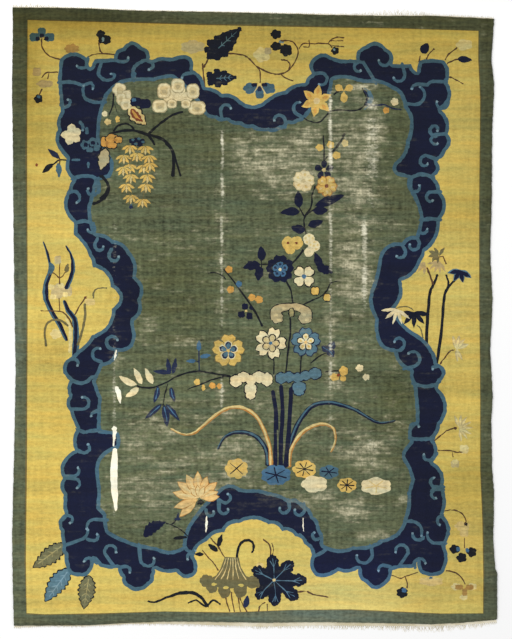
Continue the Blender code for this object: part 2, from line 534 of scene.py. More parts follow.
@dataclass(frozen=True)
class CloudFrame:
    """The navy cloud band between the border and the field, with its blue outline and tendrils.

    The edges follow the photographed ones bend by bend, in rows of x, y and the rise of the
    arc that ends there. They run clockwise.
    """

    outline_width: float = 3.7
    tendril_width: float = 3.5
    knob_share: float = 0.36

    OUTER_TOP = (
        (58, 81, 0), (60, 59, 0), (88, 59, 6.5), (89, 66, 0), (92, 66, -1.5), (95, 59.5, 0.5),
        (114, 58.5, 0), (123, 48, 3), (142, 47, 6), (149.5, 60, 3.5), (155, 59, -0.5), (166, 57.5, 1.2),
        (178, 56, -1), (193, 70, 7.5), (205, 87, 3), (222, 94, 1.8), (239, 99, 2), (267, 99, -6.5),
        (285, 91, 1.5), (305, 83, 2.5), (312, 74, 1.5), (313, 58.5, 3.5), (332, 57, 4), (345, 60, -0.5),
        (356, 60, 0.5), (365, 46, 3.5), (386, 48, 5), (392.5, 64, 3.5), (411, 64, -0.5), (417, 72, -1.2),
        (419, 61, 0.5), (444, 61, 2), (449, 74, 1.5),
    )
    OUTER_RIGHT = (
        (447, 82, 1), (441, 110, 7), (448, 134, 4), (446, 151, 3.5), (437, 161, 1.5), (433, 177, 4.5),
        (440, 191, 2), (440, 220, 6), (425, 252, 4.5), (421, 261, 1), (401, 281, 4), (394, 309, 4.5),
        (417, 334, -3), (434, 353, 2), (437, 363, 0.5), (440, 382, 7), (438, 388, -0.5), (440, 425, 8),
        (433, 439, 1.5), (433, 462, 4.5), (443, 487, 5), (443, 515, 3), (447, 541, 5), (445, 546, 0),
        (443, 573, 3.5),
    )
    OUTER_BOTTOM = (
        (420, 573, 3), (417, 561, 1), (412, 568, 1), (392, 570, -1), (386, 584, 2), (366, 583, 5.5),
        (358, 569, 3), (338, 571, 2.5), (316, 576, 3), (312, 555, 4), (304, 544, -1.9), (295, 536, -2.2),
        (282, 531, -2.6), (268.5, 524, -2.8), (239, 523, -4.2), (224, 532, -3.2), (207, 541, -2.6),
        (194, 556, -2.6), (196, 574, 2.5), (176, 572, 5), (155, 569, 2), (154, 575, 1), (149, 585, 2.2),
        (141, 590, 1), (130, 588.5, 1.5), (122, 577, 2.5), (118, 568, 1), (100, 566.5, 1), (94, 559, 0),
        (91, 571, 1.2), (86, 575.5, 0.8), (72, 575, 1), (66, 565, 1.5), (65, 555, 0.5),
    )
    OUTER_LEFT = (
        (63, 545, 1.5), (61, 531, 0.5), (65, 514, 4.5), (64, 495, 1), (63, 478, 3), (65, 458, 3.5),
        (75, 450, 1), (77, 429, 3), (70, 411, 0.5), (69, 396, 3), (70, 380, 2), (66, 360, 5), (78, 350, -1),
        (92, 335, -1.5), (112, 309, -6), (111, 287, -8), (93, 267, -5), (89, 256, -1), (74, 235, -2),
        (74, 223, 0), (69, 189, 7.5), (73, 180, 1), (67, 159, 4), (57, 146, 0.5), (58, 130, 2),
        (61, 112, 2.5),
    )
    INNER_TOP = (
        (100, 139, 0), (101, 120, 0.5), (105, 104, 0.5), (114, 89.5, 1.5), (128, 82, 1), (155, 81.5, 0.5),
        (172, 78, 1), (204, 114, 3), (215, 119, -1.6), (227, 121, -1.4), (240, 125, -1.5), (252, 128, -1.5),
        (268, 131.5, -1.6), (280, 129.5, -1.6), (288, 124, -1.6), (298, 122, -1.4), (306, 117.5, -1.2),
        (312, 110, 0), (330, 96, 1), (333, 80.5, -0.5), (352, 80, 1.5), (376, 83, -1.5), (392, 89.5, 1),
        (402, 100, 2), (404, 108, 0.2), (410, 123, 1.4), (406, 141, 1),
    )
    INNER_RIGHT = (
        (394, 163, 3), (397, 176, -3), (409, 179, 0.5), (410, 192, -1), (420, 219, 1.5), (416, 236, 0),
        (402, 242.5, -2.5), (378, 262, -7.5), (373, 284, 0.5), (375, 319, -5), (376, 337, -1),
        (394, 352, -4.5), (410, 371, -4), (413, 385, -1.5), (416, 421, 0.5), (410, 441, -5), (403, 450, 0),
        (404, 462, -2), (411, 480, 1), (407, 493, 0), (404, 518, 1.5),
    )
    INNER_BOTTOM = (
        (381, 539, 5.5), (369, 545, 0.5), (353, 546, 0.5), (323, 544, 4), (320, 529, -1.6),
        (313, 516, -1.8), (304, 505, -1.8), (288, 499, -3), (268, 492, -1.5), (253, 489, -1),
        (240, 488, 0.5), (219, 489, -4.5), (187, 527, -2), (183, 546, -1), (157, 547, 4), (139, 544, 0),
        (109, 531, 1), (107, 514, 1), (100, 507, 0), (101, 487, -0.5),
    )
    INNER_LEFT = (
        (99, 468, 0.5), (112, 451, 3), (119, 448, 0), (119, 433, -1.5), (101, 430, -1), (102, 397, 0.5),
        (96, 381, 0.5), (103, 366, 0), (118, 352, -4), (136, 334, -6.5), (134, 321, 0.5), (141, 300, -4),
        (136, 277, -5), (130, 252, -3.5), (113, 240, -3), (96, 233, -2), (91, 209, 1), (98, 181, 0),
        (110, 178, 0), (113, 160, -2),
    )

    # Tendrils: tail x, y, middle x, y, radius, end direction, side, share left
    CURLS_TOP = (
        (193, 73, 187, 79, 5, 190, -1, 1), (222, 119, 227, 110, 6.5, -20, 1, 0.6),
        (285, 128, 278, 121, 7.4, 185, -1, 0.5), (304, 118, 300, 108, 7, 270, 1, 0.8),
        (313, 74, 321, 80, 7, 110, 1, 0.7), (376, 84, 359, 68, 6.5, 60, -1, 0.5),
        (391, 60, 384, 60, 6, 175, 1, 0.9), (402, 64, 397, 76, 8, 150, 1, 0.5),
        (447, 82, 434, 90, 8.5, 220, -1, 1), (406, 104, 415, 95, 9.5, 300, -1, 1),
        (428, 85, 417, 90, 5.5, 190, -1, 1),
    )
    CURLS_RIGHT = (
        (448, 101, 442, 103, 6, 195, 1, 0.9), (436, 137, 435, 130, 6, 20, 1, 0.4),
        (446, 134, 436, 141, 6.2, 65, -1, 0.5), (437, 160, 425, 162, 6.5, 40, -1, 0.5),
        (409, 187, 415, 187, 5, -20, -1, 0.9), (441, 192, 431, 198, 6, 60, -1, 0.5),
        (418, 231, 424, 229, 5, 0, -1, 0.6), (417, 238, 413, 245, 6.5, 190, 1, 0.5),
        (400, 244, 399, 253, 7, 130, 1, 0.6), (394, 351, 398, 343, 7.5, 200, -1, 0.5),
        (403, 369, 412, 358, 8.5, 230, -1, 0.7), (438, 366, 434, 373, 6, 250, -1, 0.7),
        (410, 428, 415, 428, 5, -20, 1, 0.8), (437, 453, 428, 455, 5.5, 190, 1, 0.8),
        (444, 487, 435, 481, 6, 250, 1, 0.6), (444, 490, 436, 495, 6.2, 90, -1, 0.5),
        (443, 515, 442, 522, 6, 130, -1, 0.6),
    )
    CURLS_BOTTOM = (
        (446, 543, 436, 534, 9, 190, 1, 1), (404, 521, 411, 532, 11, 20, 1, 1),
        (424, 537, 418, 534, 6, 190, 1, 0.9), (415, 568, 420, 564, 5.5, -10, 1, 1),
        (398, 567, 401, 551, 7, 170, -1, 0.8), (391, 567, 383, 570, 5, 170, -1, 0.9),
        (370, 545, 362, 555, 10.5, 180, 1, 0.5), (319, 538, 316, 535, 4.5, 240, 1, 0.7),
        (304, 503, 298, 510, 6.5, 190, 1, 0.5), (288, 499, 283, 508, 6.5, 185, 1, 0.5),
        (218, 499, 226, 497, 6, -60, -1, 0.6), (219, 501, 225, 509, 6, 0, -1, 0.5),
        (206, 509, 211, 512, 4.5, -20, -1, 0.6), (184, 544, 192, 545, 7, 60, -1, 0.9),
        (194, 551, 192, 558, 5, 165, -1, 0.9), (120, 567, 126, 571, 5, 20, 1, 0.8),
        (139, 544, 149, 559, 8.5, -10, -1, 0.6), (115, 567, 111, 551, 6.5, 10, 1, 0.8),
        (98, 563, 89, 563, 5, 200, -1, 1),
    )
    CURLS_LEFT = (
        (108, 520, 95, 527, 8, 170, -1, 1), (65, 545, 78, 530, 10, 0, -1, 1),
        (87, 539, 94, 536, 4.5, -30, -1, 0.9), (62, 520, 69, 520, 5, 60, 1, 0.6),
        (64, 478, 75, 484, 5.5, 60, 1, 0.8), (64, 476, 74, 470, 6, -30, -1, 0.8),
        (77, 450, 85, 447, 6, -40, -1, 0.7), (71, 409, 83, 402, 7, 260, -1, 0.7),
        (100, 410, 95, 416, 4, 180, -1, 0.9), (70, 359, 74, 364, 5, 20, 1, 0.8),
        (102, 362, 99, 353, 7.5, 290, 1, 0.6), (120, 350, 113, 342, 7, -20, 1, 0.7),
        (112, 249, 115, 256, 6.5, 10, -1, 0.6), (98, 238, 101, 246, 6.5, 10, -1, 0.4),
        (93, 227, 91, 229, 4, 170, 1, 0.8), (68, 195, 74, 198, 7, 60, 1, 0.8),
        (98, 184, 92, 190, 6.5, 200, 1, 0.6), (80, 122, 76, 128, 7, 20, 1, 1),
    )
    # Tendrils of an uneven turn: points from the outline to the knob
    TENDRILS = (
        ((88, 58), (86, 67), (80, 68), (77, 66)),
        ((102, 61), (98.5, 72), (101, 78), (107, 80.5), (113, 79), (114.5, 75), (111, 74)),
        ((112, 60), (122, 62), (127, 61), (128.5, 58)),
        ((134, 81), (133, 73), (135, 67), (141, 62), (147, 60.5), (152, 63), (153, 67), (149, 70)),
        ((58, 83), (68, 82), (75, 83), (83, 85.5), (90, 83), (93, 85.5), (93, 89)),
        ((106, 102), (97, 102.5), (90, 101), (85, 98), (83, 92), (84, 86)),
        ((60.5, 104), (64, 107.5), (69, 105.5), (70.5, 101.5), (68, 99.5)),
    )
    # Blue lines across the band: points from side to side
    CROSSINGS = (
        ((72, 179.5), (78, 177), (88, 176), (95, 178), (99, 184), (99, 193)),
        ((75, 223), (85, 221), (94, 224)), ((409, 188), (409, 180), (416, 175.5), (424, 174.5), (434, 178)),
        ((420, 220), (430, 219), (441, 220)),
        ((68, 377), (74, 381), (81, 383), (88, 381), (92, 377), (97, 377)),
        ((77, 429), (84, 432), (90, 431), (101, 430)), ((412, 383), (424, 386.5), (434, 385), (440, 381)),
        ((409, 438), (417, 439), (426, 439), (434, 438)), ((134, 81), (134, 77), (134.5, 73)),
        ((326, 549), (321, 553), (313, 556)), ((443, 487), (436, 488), (431, 491)),
    )

    def draw(self, plan: Cartoon) -> None:
        """Lays the blue outline, the navy inside it and the field's green, then the tendrils.

        Args:
            plan: the drawing.
        """
        outer = scallops((*self.OUTER_TOP, *self.OUTER_RIGHT, *self.OUTER_BOTTOM, *self.OUTER_LEFT))
        inner = scallops((*self.INNER_TOP, *self.INNER_RIGHT, *self.INNER_BOTTOM, *self.INNER_LEFT))
        plan.add(Dye.BLUE, outer)
        plan.add(Dye.NAVY, offset_outline(outer, self.outline_width), only_forward=True)
        plan.add(Dye.BLUE, offset_outline(inner, -self.outline_width), only_forward=True)
        plan.add(Dye.FIELD_GREEN, inner)
        for crossing in self.CROSSINGS:
            plan.line(Dye.BLUE, crossing, self.outline_width)
        for rows in (self.CURLS_TOP, self.CURLS_RIGHT, self.CURLS_BOTTOM, self.CURLS_LEFT):
            for tail_x, tail_y, x, y, *turn in rows:
                self.curl(plan, (tail_x, tail_y), (x, y), *turn)
        for points in self.TENDRILS:
            plan.line(Dye.BLUE, points, self.tendril_width, self.tendril_width, 2.8)
            plan.oval(Dye.PALE_BLUE, *points[-1], 1.3)

    def curl(
        self, plan: Cartoon, tail: Place, middle: Place, radius: float, end: float,
        side: int, tighten: float,
    ) -> None:
        """Draws a blue tendril that runs from a tail round a circle and ends in a pale knob.

        Args:
            plan: the drawing.
            tail: where it leaves the frame's outline.
            middle: the circle's middle.
            radius: the circle's radius where the tendril meets it.
            end: direction of its end from the middle, in degrees.
            side: 1 to run round clockwise on the plan, -1 the other way.
            tighten: the radius's share left at the end.
        """
        dx, dy = tail[0] - middle[0], tail[1] - middle[1]
        away = max(math.hypot(dx, dy), radius * 1.01)
        start = math.degrees(math.atan2(dy, dx)) + side * math.degrees(math.acos(radius / away))
        sweep = ((end - start) * side) % 360.0
        steps = max(4, round(sweep / 30))
        places = [tuple(tail)]
        for step in range(steps + 1):
            share = step / steps
            reach = radius * (1 - (1 - tighten) * share)
            places.append(around(*middle, reach, start + side * sweep * share))
        width = self.tendril_width
        plan.line(Dye.BLUE, places, width, width, width * 0.9, width * 0.75, steps=2)
        plan.oval(Dye.PALE_BLUE, *places[-1], width * self.knob_share)


@dataclass(frozen=True)
class GoldBorder:
    """The outer green band, the gold border and the twigs, leaves and flowers scattered on it."""

    # Width of the thin dark brown line round the gold
    seam: float = 0.9
    ground_reach: float = 900.0
    scallop: float = 0.2
    bell_scallop: float = 0.12
    leaf_scallop: float = 0.18

    # The gold's corners, clockwise from the top left
    GOLD_EDGE = (
        (28, 20.5), (45, 21), (120, 23), (200, 25), (300, 27), (400, 29), (478, 31.5), (478, 60),
        (480, 100), (479, 200), (479, 300), (480, 400), (480, 470), (482, 520), (483, 575), (483, 613),
        (440, 613), (350, 609), (290, 609.5), (230, 612), (165, 611), (100, 613), (45, 614), (27, 613),
        (26, 560), (27, 450), (28, 300), (27, 150),
    )

    # Twigs: width, points and any dye but the twigs' own
    TWIGS = (
        (1.5, ((42, 39), (42.5, 48), (50, 56.5), (60, 59.5))), (1.3, ((88, 57), (98, 54), (115, 54.5))),
        (1.4, ((99, 43), (100, 50), (103, 54))), (1.3, ((58, 72.5), (49, 72.5), (45, 74), (42, 78))),
        (1.2, ((49, 73), (48, 79))), (1.4, ((42, 89), (39.5, 95))),
        (1.4, ((71, 161), (60, 160), (53, 165), (49, 168)), Dye.UMBER),
        (1.2, ((57, 153), (60, 160), (59, 168))), (1.6, ((205, 87), (203.5, 75), (202.5, 64))),
        (1.5, ((203.5, 68), (207, 62), (209, 56))),
        (1.5, ((226, 53.5), (236, 54), (245, 56), (250, 60), (257, 67))),
        (1.5, ((257, 67), (265, 71), (273, 74), (281, 74), (289, 70), (296, 60), (298, 51), (294, 43),
            (288, 41), (281, 41))),
        (1.3, ((257, 67), (260, 72), (260, 83))), (1.4, ((281, 60), (287, 61), (290, 65), (288, 71))),
        (1.3, ((281, 74), (285, 78), (293, 81))),
        (1.3, ((299, 49), (303, 44), (315, 44), (328, 44), (332, 48))),
        (1.2, ((328, 44), (331, 40), (337, 37.5), (344, 38))), (1, ((309, 40), (309, 47), (303, 47))),
        (1.2, ((332, 46), (338, 46.5), (344, 47))), (1.1, ((331, 41), (337, 41), (343, 41))),
        (1.3, ((426, 60), (429, 54), (434, 49))), (1.2, ((419, 62), (420, 56))),
        (1.3, ((445, 60), (449, 54), (457, 48))), (1.3, ((447, 64), (452, 61), (459, 59.5))),
        (1.2, ((449, 77), (456, 80), (463, 84))), (1.3, ((60, 263), (59.5, 275), (60, 284))),
        (1.2, ((49, 275), (54, 273), (60, 278), (66, 272))),
        (1.3, ((41, 311), (60, 311.5), (68, 317), (73, 327))), (1.2, ((59, 298), (60, 311))),
        (1.4, ((86, 297), (80, 306), (75, 315))),
        (1.6, ((93.5, 298), (94, 292), (98, 288.5), (107, 288)), Dye.OLIVE),
        (2.6, ((85, 304), (85, 318), (82, 332), (78, 345)), Dye.OLIVE),
        (2.2, ((46.5, 346), (45, 333), (47, 324), (54, 320), (62, 321), (68, 326)), Dye.OLIVE),
        (1.4, ((439, 257), (443, 257), (446, 264))),
        (1.2, ((395, 309), (400, 307), (408, 307), (413, 310)), Dye.OLIVE),
        (1.2, ((417, 325), (421, 330), (423, 338)), Dye.OLIVE),
        (1.3, ((440, 364), (445, 357), (450, 351), (454, 350))),
        (1.3, ((434, 441), (441, 435), (448, 430), (455, 428))),
        (1.3, ((438, 450), (450, 450.5), (456, 452), (462, 452))), (1, ((452, 452), (453, 457))),
        (1.2, ((444, 511), (452, 510), (460, 512), (465, 518), (465.5, 524))),
        (1.1, ((464.5, 538), (464.5, 548))), (1.1, ((391, 575), (400, 578), (406, 576), (418, 572))),
        (1.2, ((404.5, 576), (407, 582), (407, 588))),
        (1.2, ((446, 570.5), (454, 572), (461, 577), (465, 584))),
        (1.8, ((148, 601), (154, 602), (160, 600)), Dye.UMBER),
        (1.8, ((188, 603), (196, 600), (206, 606), (213, 600), (220, 604)), Dye.UMBER),
        (1.3, ((211, 538), (214, 542), (218, 546), (222, 553), (226, 559))),
        (1.3, ((202, 550), (209, 558), (214, 563), (218, 570))),
        (1.4, ((263, 539), (268, 543), (270.5, 548), (270.5, 556))),
        (1.2, ((272, 543), (273.5, 550), (272, 556))),
        (1.3, ((296, 592), (306, 591), (313, 594), (328, 597))),
        (1.3, ((225.5, 594), (227, 603), (230, 611.5))),
        (1.3, ((231.5, 592), (232.5, 602), (234.5, 611.5))),
        (1.3, ((238.5, 596), (239, 604), (240.5, 611.5))), (1.2, ((240, 598), (243, 605), (247, 611.5))),
        (1.3, ((265, 602), (260, 606), (258.5, 611))), (1.2, ((267, 604), (267.5, 611))),
    )
    # Brush strokes: first, middle and last width, dye, then points
    STROKES = (
        (1.6, 3.6, 3, Dye.UMBER, ((156, 602), (170, 596), (180, 593), (192, 592.5), (201, 597),
            (208, 606))),
        (2.6, 2.8, 2.2, Dye.UMBER, ((237, 559), (238, 549), (242, 542), (248, 540), (253, 543),
            (253.5, 549), (252, 552))),
        (1.4, 5, 3, Dye.BLUE, ((43.6, 242), (48.4, 257), (50.2, 271), (45.6, 285), (46.2, 299), (52.2, 313),
            (59.2, 325), (66.4, 340))),
        (1.2, 3.2, 2.4, Dye.NAVY, ((44, 242), (49, 257), (51.2, 271), (47, 285), (47.6, 299), (53.6, 313),
            (60.6, 325), (67.4, 340))),
        (1.2, 3.6, 4.4, Dye.BLUE, ((66.3, 246), (71.6, 255), (73.6, 265), (71.6, 277), (66.4, 288))),
        (1.2, 3, 3.4, Dye.NAVY, ((66, 246), (70.8, 255), (72.6, 265), (70.6, 277), (66, 288))),
        (3.4, 6, 6.2, Dye.BLUE, ((64.4, 301), (68.2, 311), (74.4, 319), (76, 332), (75.6, 345),
            (74.6, 360))),
        (2.6, 5, 5.2, Dye.NAVY, ((65, 301), (69, 311), (75.2, 319), (76.8, 332), (76.2, 345), (75.2, 360))),
        (0.8, 2, 2, Dye.BLUE, ((70, 310), (76.5, 318), (78.5, 332), (78, 346), (77, 360))),
        (2, 3.4, 3, Dye.FADED_CREAM, ((66, 318), (70, 328), (70.5, 340), (70, 352))),
        (3.4, 3.2, 2.4, Dye.UMBER, ((426, 357), (426.5, 335), (428, 310), (430, 292), (434, 283),
            (437, 275))),
        (3.4, 3.2, 2.4, Dye.UMBER, ((435, 371), (439, 349), (442, 322), (444, 298), (447, 289), (452, 283),
            (456, 279))),
        (2.4, 2, 1.8, Dye.TWIG, ((433, 284), (430, 276), (427, 268))),
        (2.2, 2, 1.8, Dye.UMBER, ((448, 287), (448, 281), (446, 275))),
    )
    # Leaves: root x, y, tip x, y, width, dye, and for some bend, teeth and ribs on each side
    LEAVES = (
        (60, 159, 48, 149, 5.4, Dye.INDIGO), (53, 164, 42, 173, 5.4, Dye.UMBER),
        (58.5, 163, 59.5, 178, 6, Dye.BLUE), (66, 157, 64, 148, 3, Dye.BLUE),
        (422, 54, 427.5, 43, 9, Dye.NAVY), (457, 59, 472, 60.5, 7, Dye.NAVY),
        (64, 544, 33.5, 567, 14, Dye.MOSS, -1, 7, 4), (69.5, 569, 45.5, 601, 15, Dye.TEAL, 1, 7, 4),
        (89, 576, 84, 608, 14, Dye.MOSS, 0, 7, 4), (218, 547, 222, 534, 5, Dye.UMBER),
        (218, 551, 208, 544, 5.5, Dye.UMBER), (204, 554, 194, 554, 4, Dye.UMBER),
        (66.4, 273, 68, 263.5, 4.8, Dye.OLIVE), (50, 262, 50, 275, 6, Dye.BLUE, -2, 0, 0),
        (245, 608, 248, 595, 6, Dye.INDIGO),
    )
    # Small patches: x, y, half width, half height, lobes, dye
    PATCHES = (
        (37, 72, 5, 5, 4, Dye.FADED_TAN), (45, 84, 9, 4, 5, Dye.FADED_TAN),
        (193, 47, 13, 7, 6, Dye.FADED_GREY), (72, 49, 8, 5, 7, Dye.FADED_RUST),
        (262, 55, 9, 8, 5, Dye.FADED_CREAM), (268, 51, 4, 4, 4, Dye.TAUPE),
        (464, 45, 9, 6, 5, Dye.FADED_CREAM), (59, 291, 9, 8, 6, Dye.FADED_GREY),
        (51.5, 287, 3.4, 3, 4, Dye.FADED_CREAM), (61, 285.5, 3.4, 2.8, 4, Dye.FADED_CREAM),
        (53.5, 297, 3.6, 3, 4, Dye.FADED_CREAM), (68, 291, 5, 6, 4, Dye.FADED_GREY),
        (65.5, 294.5, 3, 3, 4, Dye.FADED_CREAM), (58, 260, 4, 5, 4, Dye.FADED_GREY),
        (90, 302, 6, 4, 4, Dye.FADED_PINK), (56, 334, 6, 5.5, 5, Dye.FADED_CREAM),
        (462, 526, 8, 5, 5, Dye.FADED_PINK), (464, 533, 5, 4, 4, Dye.FADED_PINK),
        (431, 581, 13, 5, 6, Dye.FADED_PINK), (464, 449, 5, 5, 4, Dye.FADED_CREAM),
        (455, 464, 5, 4, 4, Dye.FADED_GREY), (455, 461.5, 3.4, 2.4, 4, Dye.FADED_CREAM),
        (260, 566, 4, 4, 4, Dye.FADED_PINK), (42, 32.5, 4.8, 5.4, 4, Dye.BLUE),
        (34.6, 37.5, 5.6, 5, 4, Dye.BLUE), (50, 37.5, 5.6, 5, 4, Dye.BLUE), (42, 36, 2.4, 2.6, 4, Dye.NAVY),
        (38, 39, 2.6, 2.4, 4, Dye.NAVY), (46.4, 39, 2.6, 2.4, 4, Dye.NAVY),
        (250.5, 88.5, 7.6, 6, 5, Dye.BLUE), (268.3, 88.5, 7.6, 6, 5, Dye.BLUE),
        (259.6, 93.5, 4.8, 6, 4, Dye.BLUE), (254.5, 85, 3.4, 2.2, 4, Dye.NAVY),
        (264.5, 85, 3.4, 2.2, 4, Dye.NAVY), (259.6, 89, 2.4, 3, 4, Dye.INDIGO),
        (276, 34.5, 5.8, 5.2, 5, Dye.UMBER), (276, 46.5, 5.8, 4.8, 5, Dye.UMBER),
        (286.5, 50.5, 6.2, 6.6, 5, Dye.UMBER), (281.5, 42, 3, 1.6, 4, Dye.PALE_BLUE),
        (335, 51, 4.2, 4.2, 5, Dye.UMBER), (334, 50, 1.3, 1.3, 4, Dye.PALE_BLUE),
        (38.6, 99, 4.6, 4.8, 5, Dye.UMBER), (39, 97, 2, 1.6, 4, Dye.BRIGHT_BLUE),
        (454.5, 549, 5.4, 4.8, 5, Dye.UMBER), (471.5, 552, 5.2, 5.2, 5, Dye.UMBER),
        (461.5, 557.5, 5.4, 5.2, 5, Dye.UMBER), (458, 549, 2.2, 2.6, 4, Dye.BRIGHT_BLUE),
        (467, 550, 2, 2.4, 4, Dye.BRIGHT_BLUE), (402, 592.5, 6, 5.6, 6, Dye.UMBER),
        (404, 590, 2.6, 2.6, 4, Dye.BRIGHT_BLUE), (101, 35, 4.8, 5, 5, Dye.UMBER),
        (106.5, 40, 5, 5, 5, Dye.UMBER), (102, 40, 4.2, 4.2, 4, Dye.UMBER),
        (103.2, 39.6, 1.4, 2.6, 4, Dye.PALE_BLUE), (37, 165, 1.6, 1.6, 5, Dye.RUST),
        (85.6, 297.4, 1.6, 1.6, 5, Dye.RUST), (465.5, 524, 1.8, 1.8, 4, Dye.UMBER),
        (431, 577.5, 1.8, 1.2, 4, Dye.BLUE), (281, 47, 3, 2, 4, Dye.UMBER), (282, 52, 2.6, 2, 4, Dye.UMBER),
        (456, 586.5, 5.4, 3.8, 5, Dye.FADED_CREAM), (472, 586.5, 5, 3.8, 5, Dye.FADED_CREAM),
        (463.6, 597, 4.4, 3, 5, Dye.FADED_CREAM), (459, 587, 4.6, 3, 4, Dye.FADED_RUST),
        (469.5, 587, 4.6, 3, 4, Dye.FADED_RUST), (464.5, 592, 3, 4.4, 4, Dye.FADED_RUST),
        (455, 428, 1.8, 1.6, 4, Dye.TWIG),
    )
    # Fans of narrow leaves: x, y, reach, width, first direction, last direction, leaves, dye
    TUFTS = (
        (425, 262, 13, 3.2, 95, 155, 3, Dye.FADED_TAN), (439, 261, 13, 3, 60, 165, 5, Dye.FADED_TAN),
        (456, 349, 14, 4.2, -104, -22, 4, Dye.FADED_GREY),
        (456, 349.6, 13, 2, -104, -22, 4, Dye.FADED_CREAM), (456, 349, 13, 3.4, 60, 84, 2, Dye.FADED_GREY),
        (456.4, 349, 12, 1.6, 62, 82, 2, Dye.FADED_CREAM), (459, 428, 14, 3, -110, 80, 8, Dye.FADED_GREY),
        (459.4, 428.4, 13, 1.7, -110, 80, 8, Dye.FADED_CREAM),
        (460.5, 270, 13.4, 5.6, 36, 168, 4, Dye.TEAL), (460.5, 270.6, 12, 4.2, 36, 168, 4, Dye.NAVY),
        (437, 254, 9.5, 3.8, 85, 200, 4, Dye.OLIVE), (439, 256, 10, 3.8, -120, -60, 2, Dye.OLIVE),
    )
    # Leaf clusters that lie over the cloud band, in the same rows
    OVER = (
        (414, 312, 16, 5, 10, 170, 5, Dye.INK), (397, 309, 16, 3.6, 38, 174, 5, Dye.CREAM),
    )
    # Two lobed leaves: root x, y, tip x, y, then lobes of share along, shift aside and size
    LOBED = (
        ((209, 57), (241, 28), ((0.02, 0, 3.8), (0.08, -6.5, 3.6), (0.24, -9.5, 4), (0.42, -8, 4),
            (0.6, -5.5, 3.8), (0.76, -3, 3.2), (0.14, 6, 3.8), (0.32, 8.5, 4), (0.5, 7.5, 3.8),
            (0.67, 5, 3.4), (0.82, 2.4, 3.2), (0.95, 0, 2.6))),
        ((208, 79), (237, 77.5), ((0.06, -4, 3.6), (0.08, 4, 3.6), (0.32, -6.4, 3.8), (0.34, 6, 3.8),
            (0.57, -4.8, 3.4), (0.58, 4.6, 3.4), (0.77, 0, 3.6), (0.93, 0, 2.2))),
    )

    # The ribbed bloom's brim: x, y, half width, half height
    BRIM = (
        (206.5, 580.5, 7, 6.5), (212, 587, 6, 6), (224.5, 590, 6.5, 8.5), (240.5, 589.5, 7, 8.5),
        (253.5, 582, 9, 6.5), (230, 581, 24, 7.5),
    )
    # The ribbed bloom's cup, and where its ribs start and stop across the plan
    CUP = (
        (225, 557), (239, 557), (241, 567), (248, 579), (214, 579), (221, 568),
    )
    CUP_RIBS = (
        (226, 215), (228.5, 221), (231, 227), (233, 233), (235, 239), (237, 246),
    )
    # The great leaf: its middle, and the tips of its lobes
    GREAT_MIDDLE = (274, 580)
    GREAT_TIPS = (
        (272, 554.5), (293, 561), (307, 580), (298, 599), (275, 606), (256, 598), (252, 568),
    )

    def draw(self, plan: Cartoon) -> None:
        """Lays the band, the gold and then what is scattered on the gold.

        Args:
            plan: the drawing.
        """
        plan.add(Dye.BAND_GREEN, oval(*PLAN_MIDDLE, self.ground_reach, self.ground_reach, 45, 4))
        gold = points_of(self.GOLD_EDGE)
        # A thin dark brown line just outside the gold's edge
        plan.add(Dye.GOLD_RIM_BROWN, offset_outline(gold, -self.seam))
        plan.add(Dye.GOLD, gold)
        for x, y, half_x, half_y, lobes, dye in self.PATCHES:
            plan.lobe(dye, x, y, half_x, half_y, lobes, self.scallop)
        for first, middle, last, dye, points in self.STROKES:
            plan.line(dye, points, first, middle, last)
        for width, points, *dye in self.TWIGS:
            plan.line(dye[0] if dye else Dye.TWIG, points, width)
        for x0, y0, x1, y1, width, dye, *more in self.LEAVES:
            bend, teeth, ribs = more or (0, 0, 0)
            plan.leaf(dye, (x0, y0), (x1, y1), width, bend, teeth, Dye.UMBER if ribs else None)
            if ribs:
                pale = Dye.PALE_BLUE if dye is Dye.TEAL else Dye.SAGE
                start = (x0 * 0.9 + x1 * 0.1, y0 * 0.9 + y1 * 0.1)
                stop = (x0 * 0.15 + x1 * 0.85, y0 * 0.15 + y1 * 0.85)
                plan.ribs(pale, start, stop, width * 0.9, ribs)
        self.draw_tufts(plan, self.TUFTS)
        self.draw_lobed(plan)
        self.draw_bell(plan)
        self.draw_great_leaf(plan)

    def draw_over(self, plan: Cartoon) -> None:
        """Draws what crosses from the border on to the cloud band."""
        self.draw_tufts(plan, self.OVER)

    def draw_tufts(self, plan: Cartoon, rows: Sequence[tuple]) -> None:
        """Draws fans of narrow leaves.

        Args:
            plan: the drawing.
            rows: as in the table of tufts.
        """
        for x, y, reach, width, first, last, count, dye in rows:
            turns = [first + (last - first) * i / (count - 1) for i in range(count)]
            plan.fan(dye, x, y, reach, turns, width, 0.85)

    def draw_lobed(self, plan: Cartoon) -> None:
        """Draws the two navy leaves with round lobes, and the sand lines of the blue trefoil.

        Args:
            plan: the drawing.
        """
        for root, tip, lobes in self.LOBED:
            turn = math.degrees(math.atan2(tip[1] - root[1], tip[0] - root[0]))
            run = math.hypot(tip[0] - root[0], tip[1] - root[1])
            ends = (around(*root, -run * 0.06, turn), around(*root, run * 0.98, turn))
            plan.leaf(Dye.INK, *ends, run * 0.46)
            for share, aside, size in lobes:
                x, y = around(*around(*root, run * share, turn), aside, turn + 90)
                plan.lobe(Dye.INK, x, y, size, size, 4, self.scallop)
            plan.ribs(Dye.TEAL, around(*root, run * 0.3, turn), around(*root, run * 0.86, turn), 10, 3)
        for tip in ((253.5, 94), (265.5, 94)):
            plan.line(Dye.SAND, ((259.6, 84), tip), 1.0)

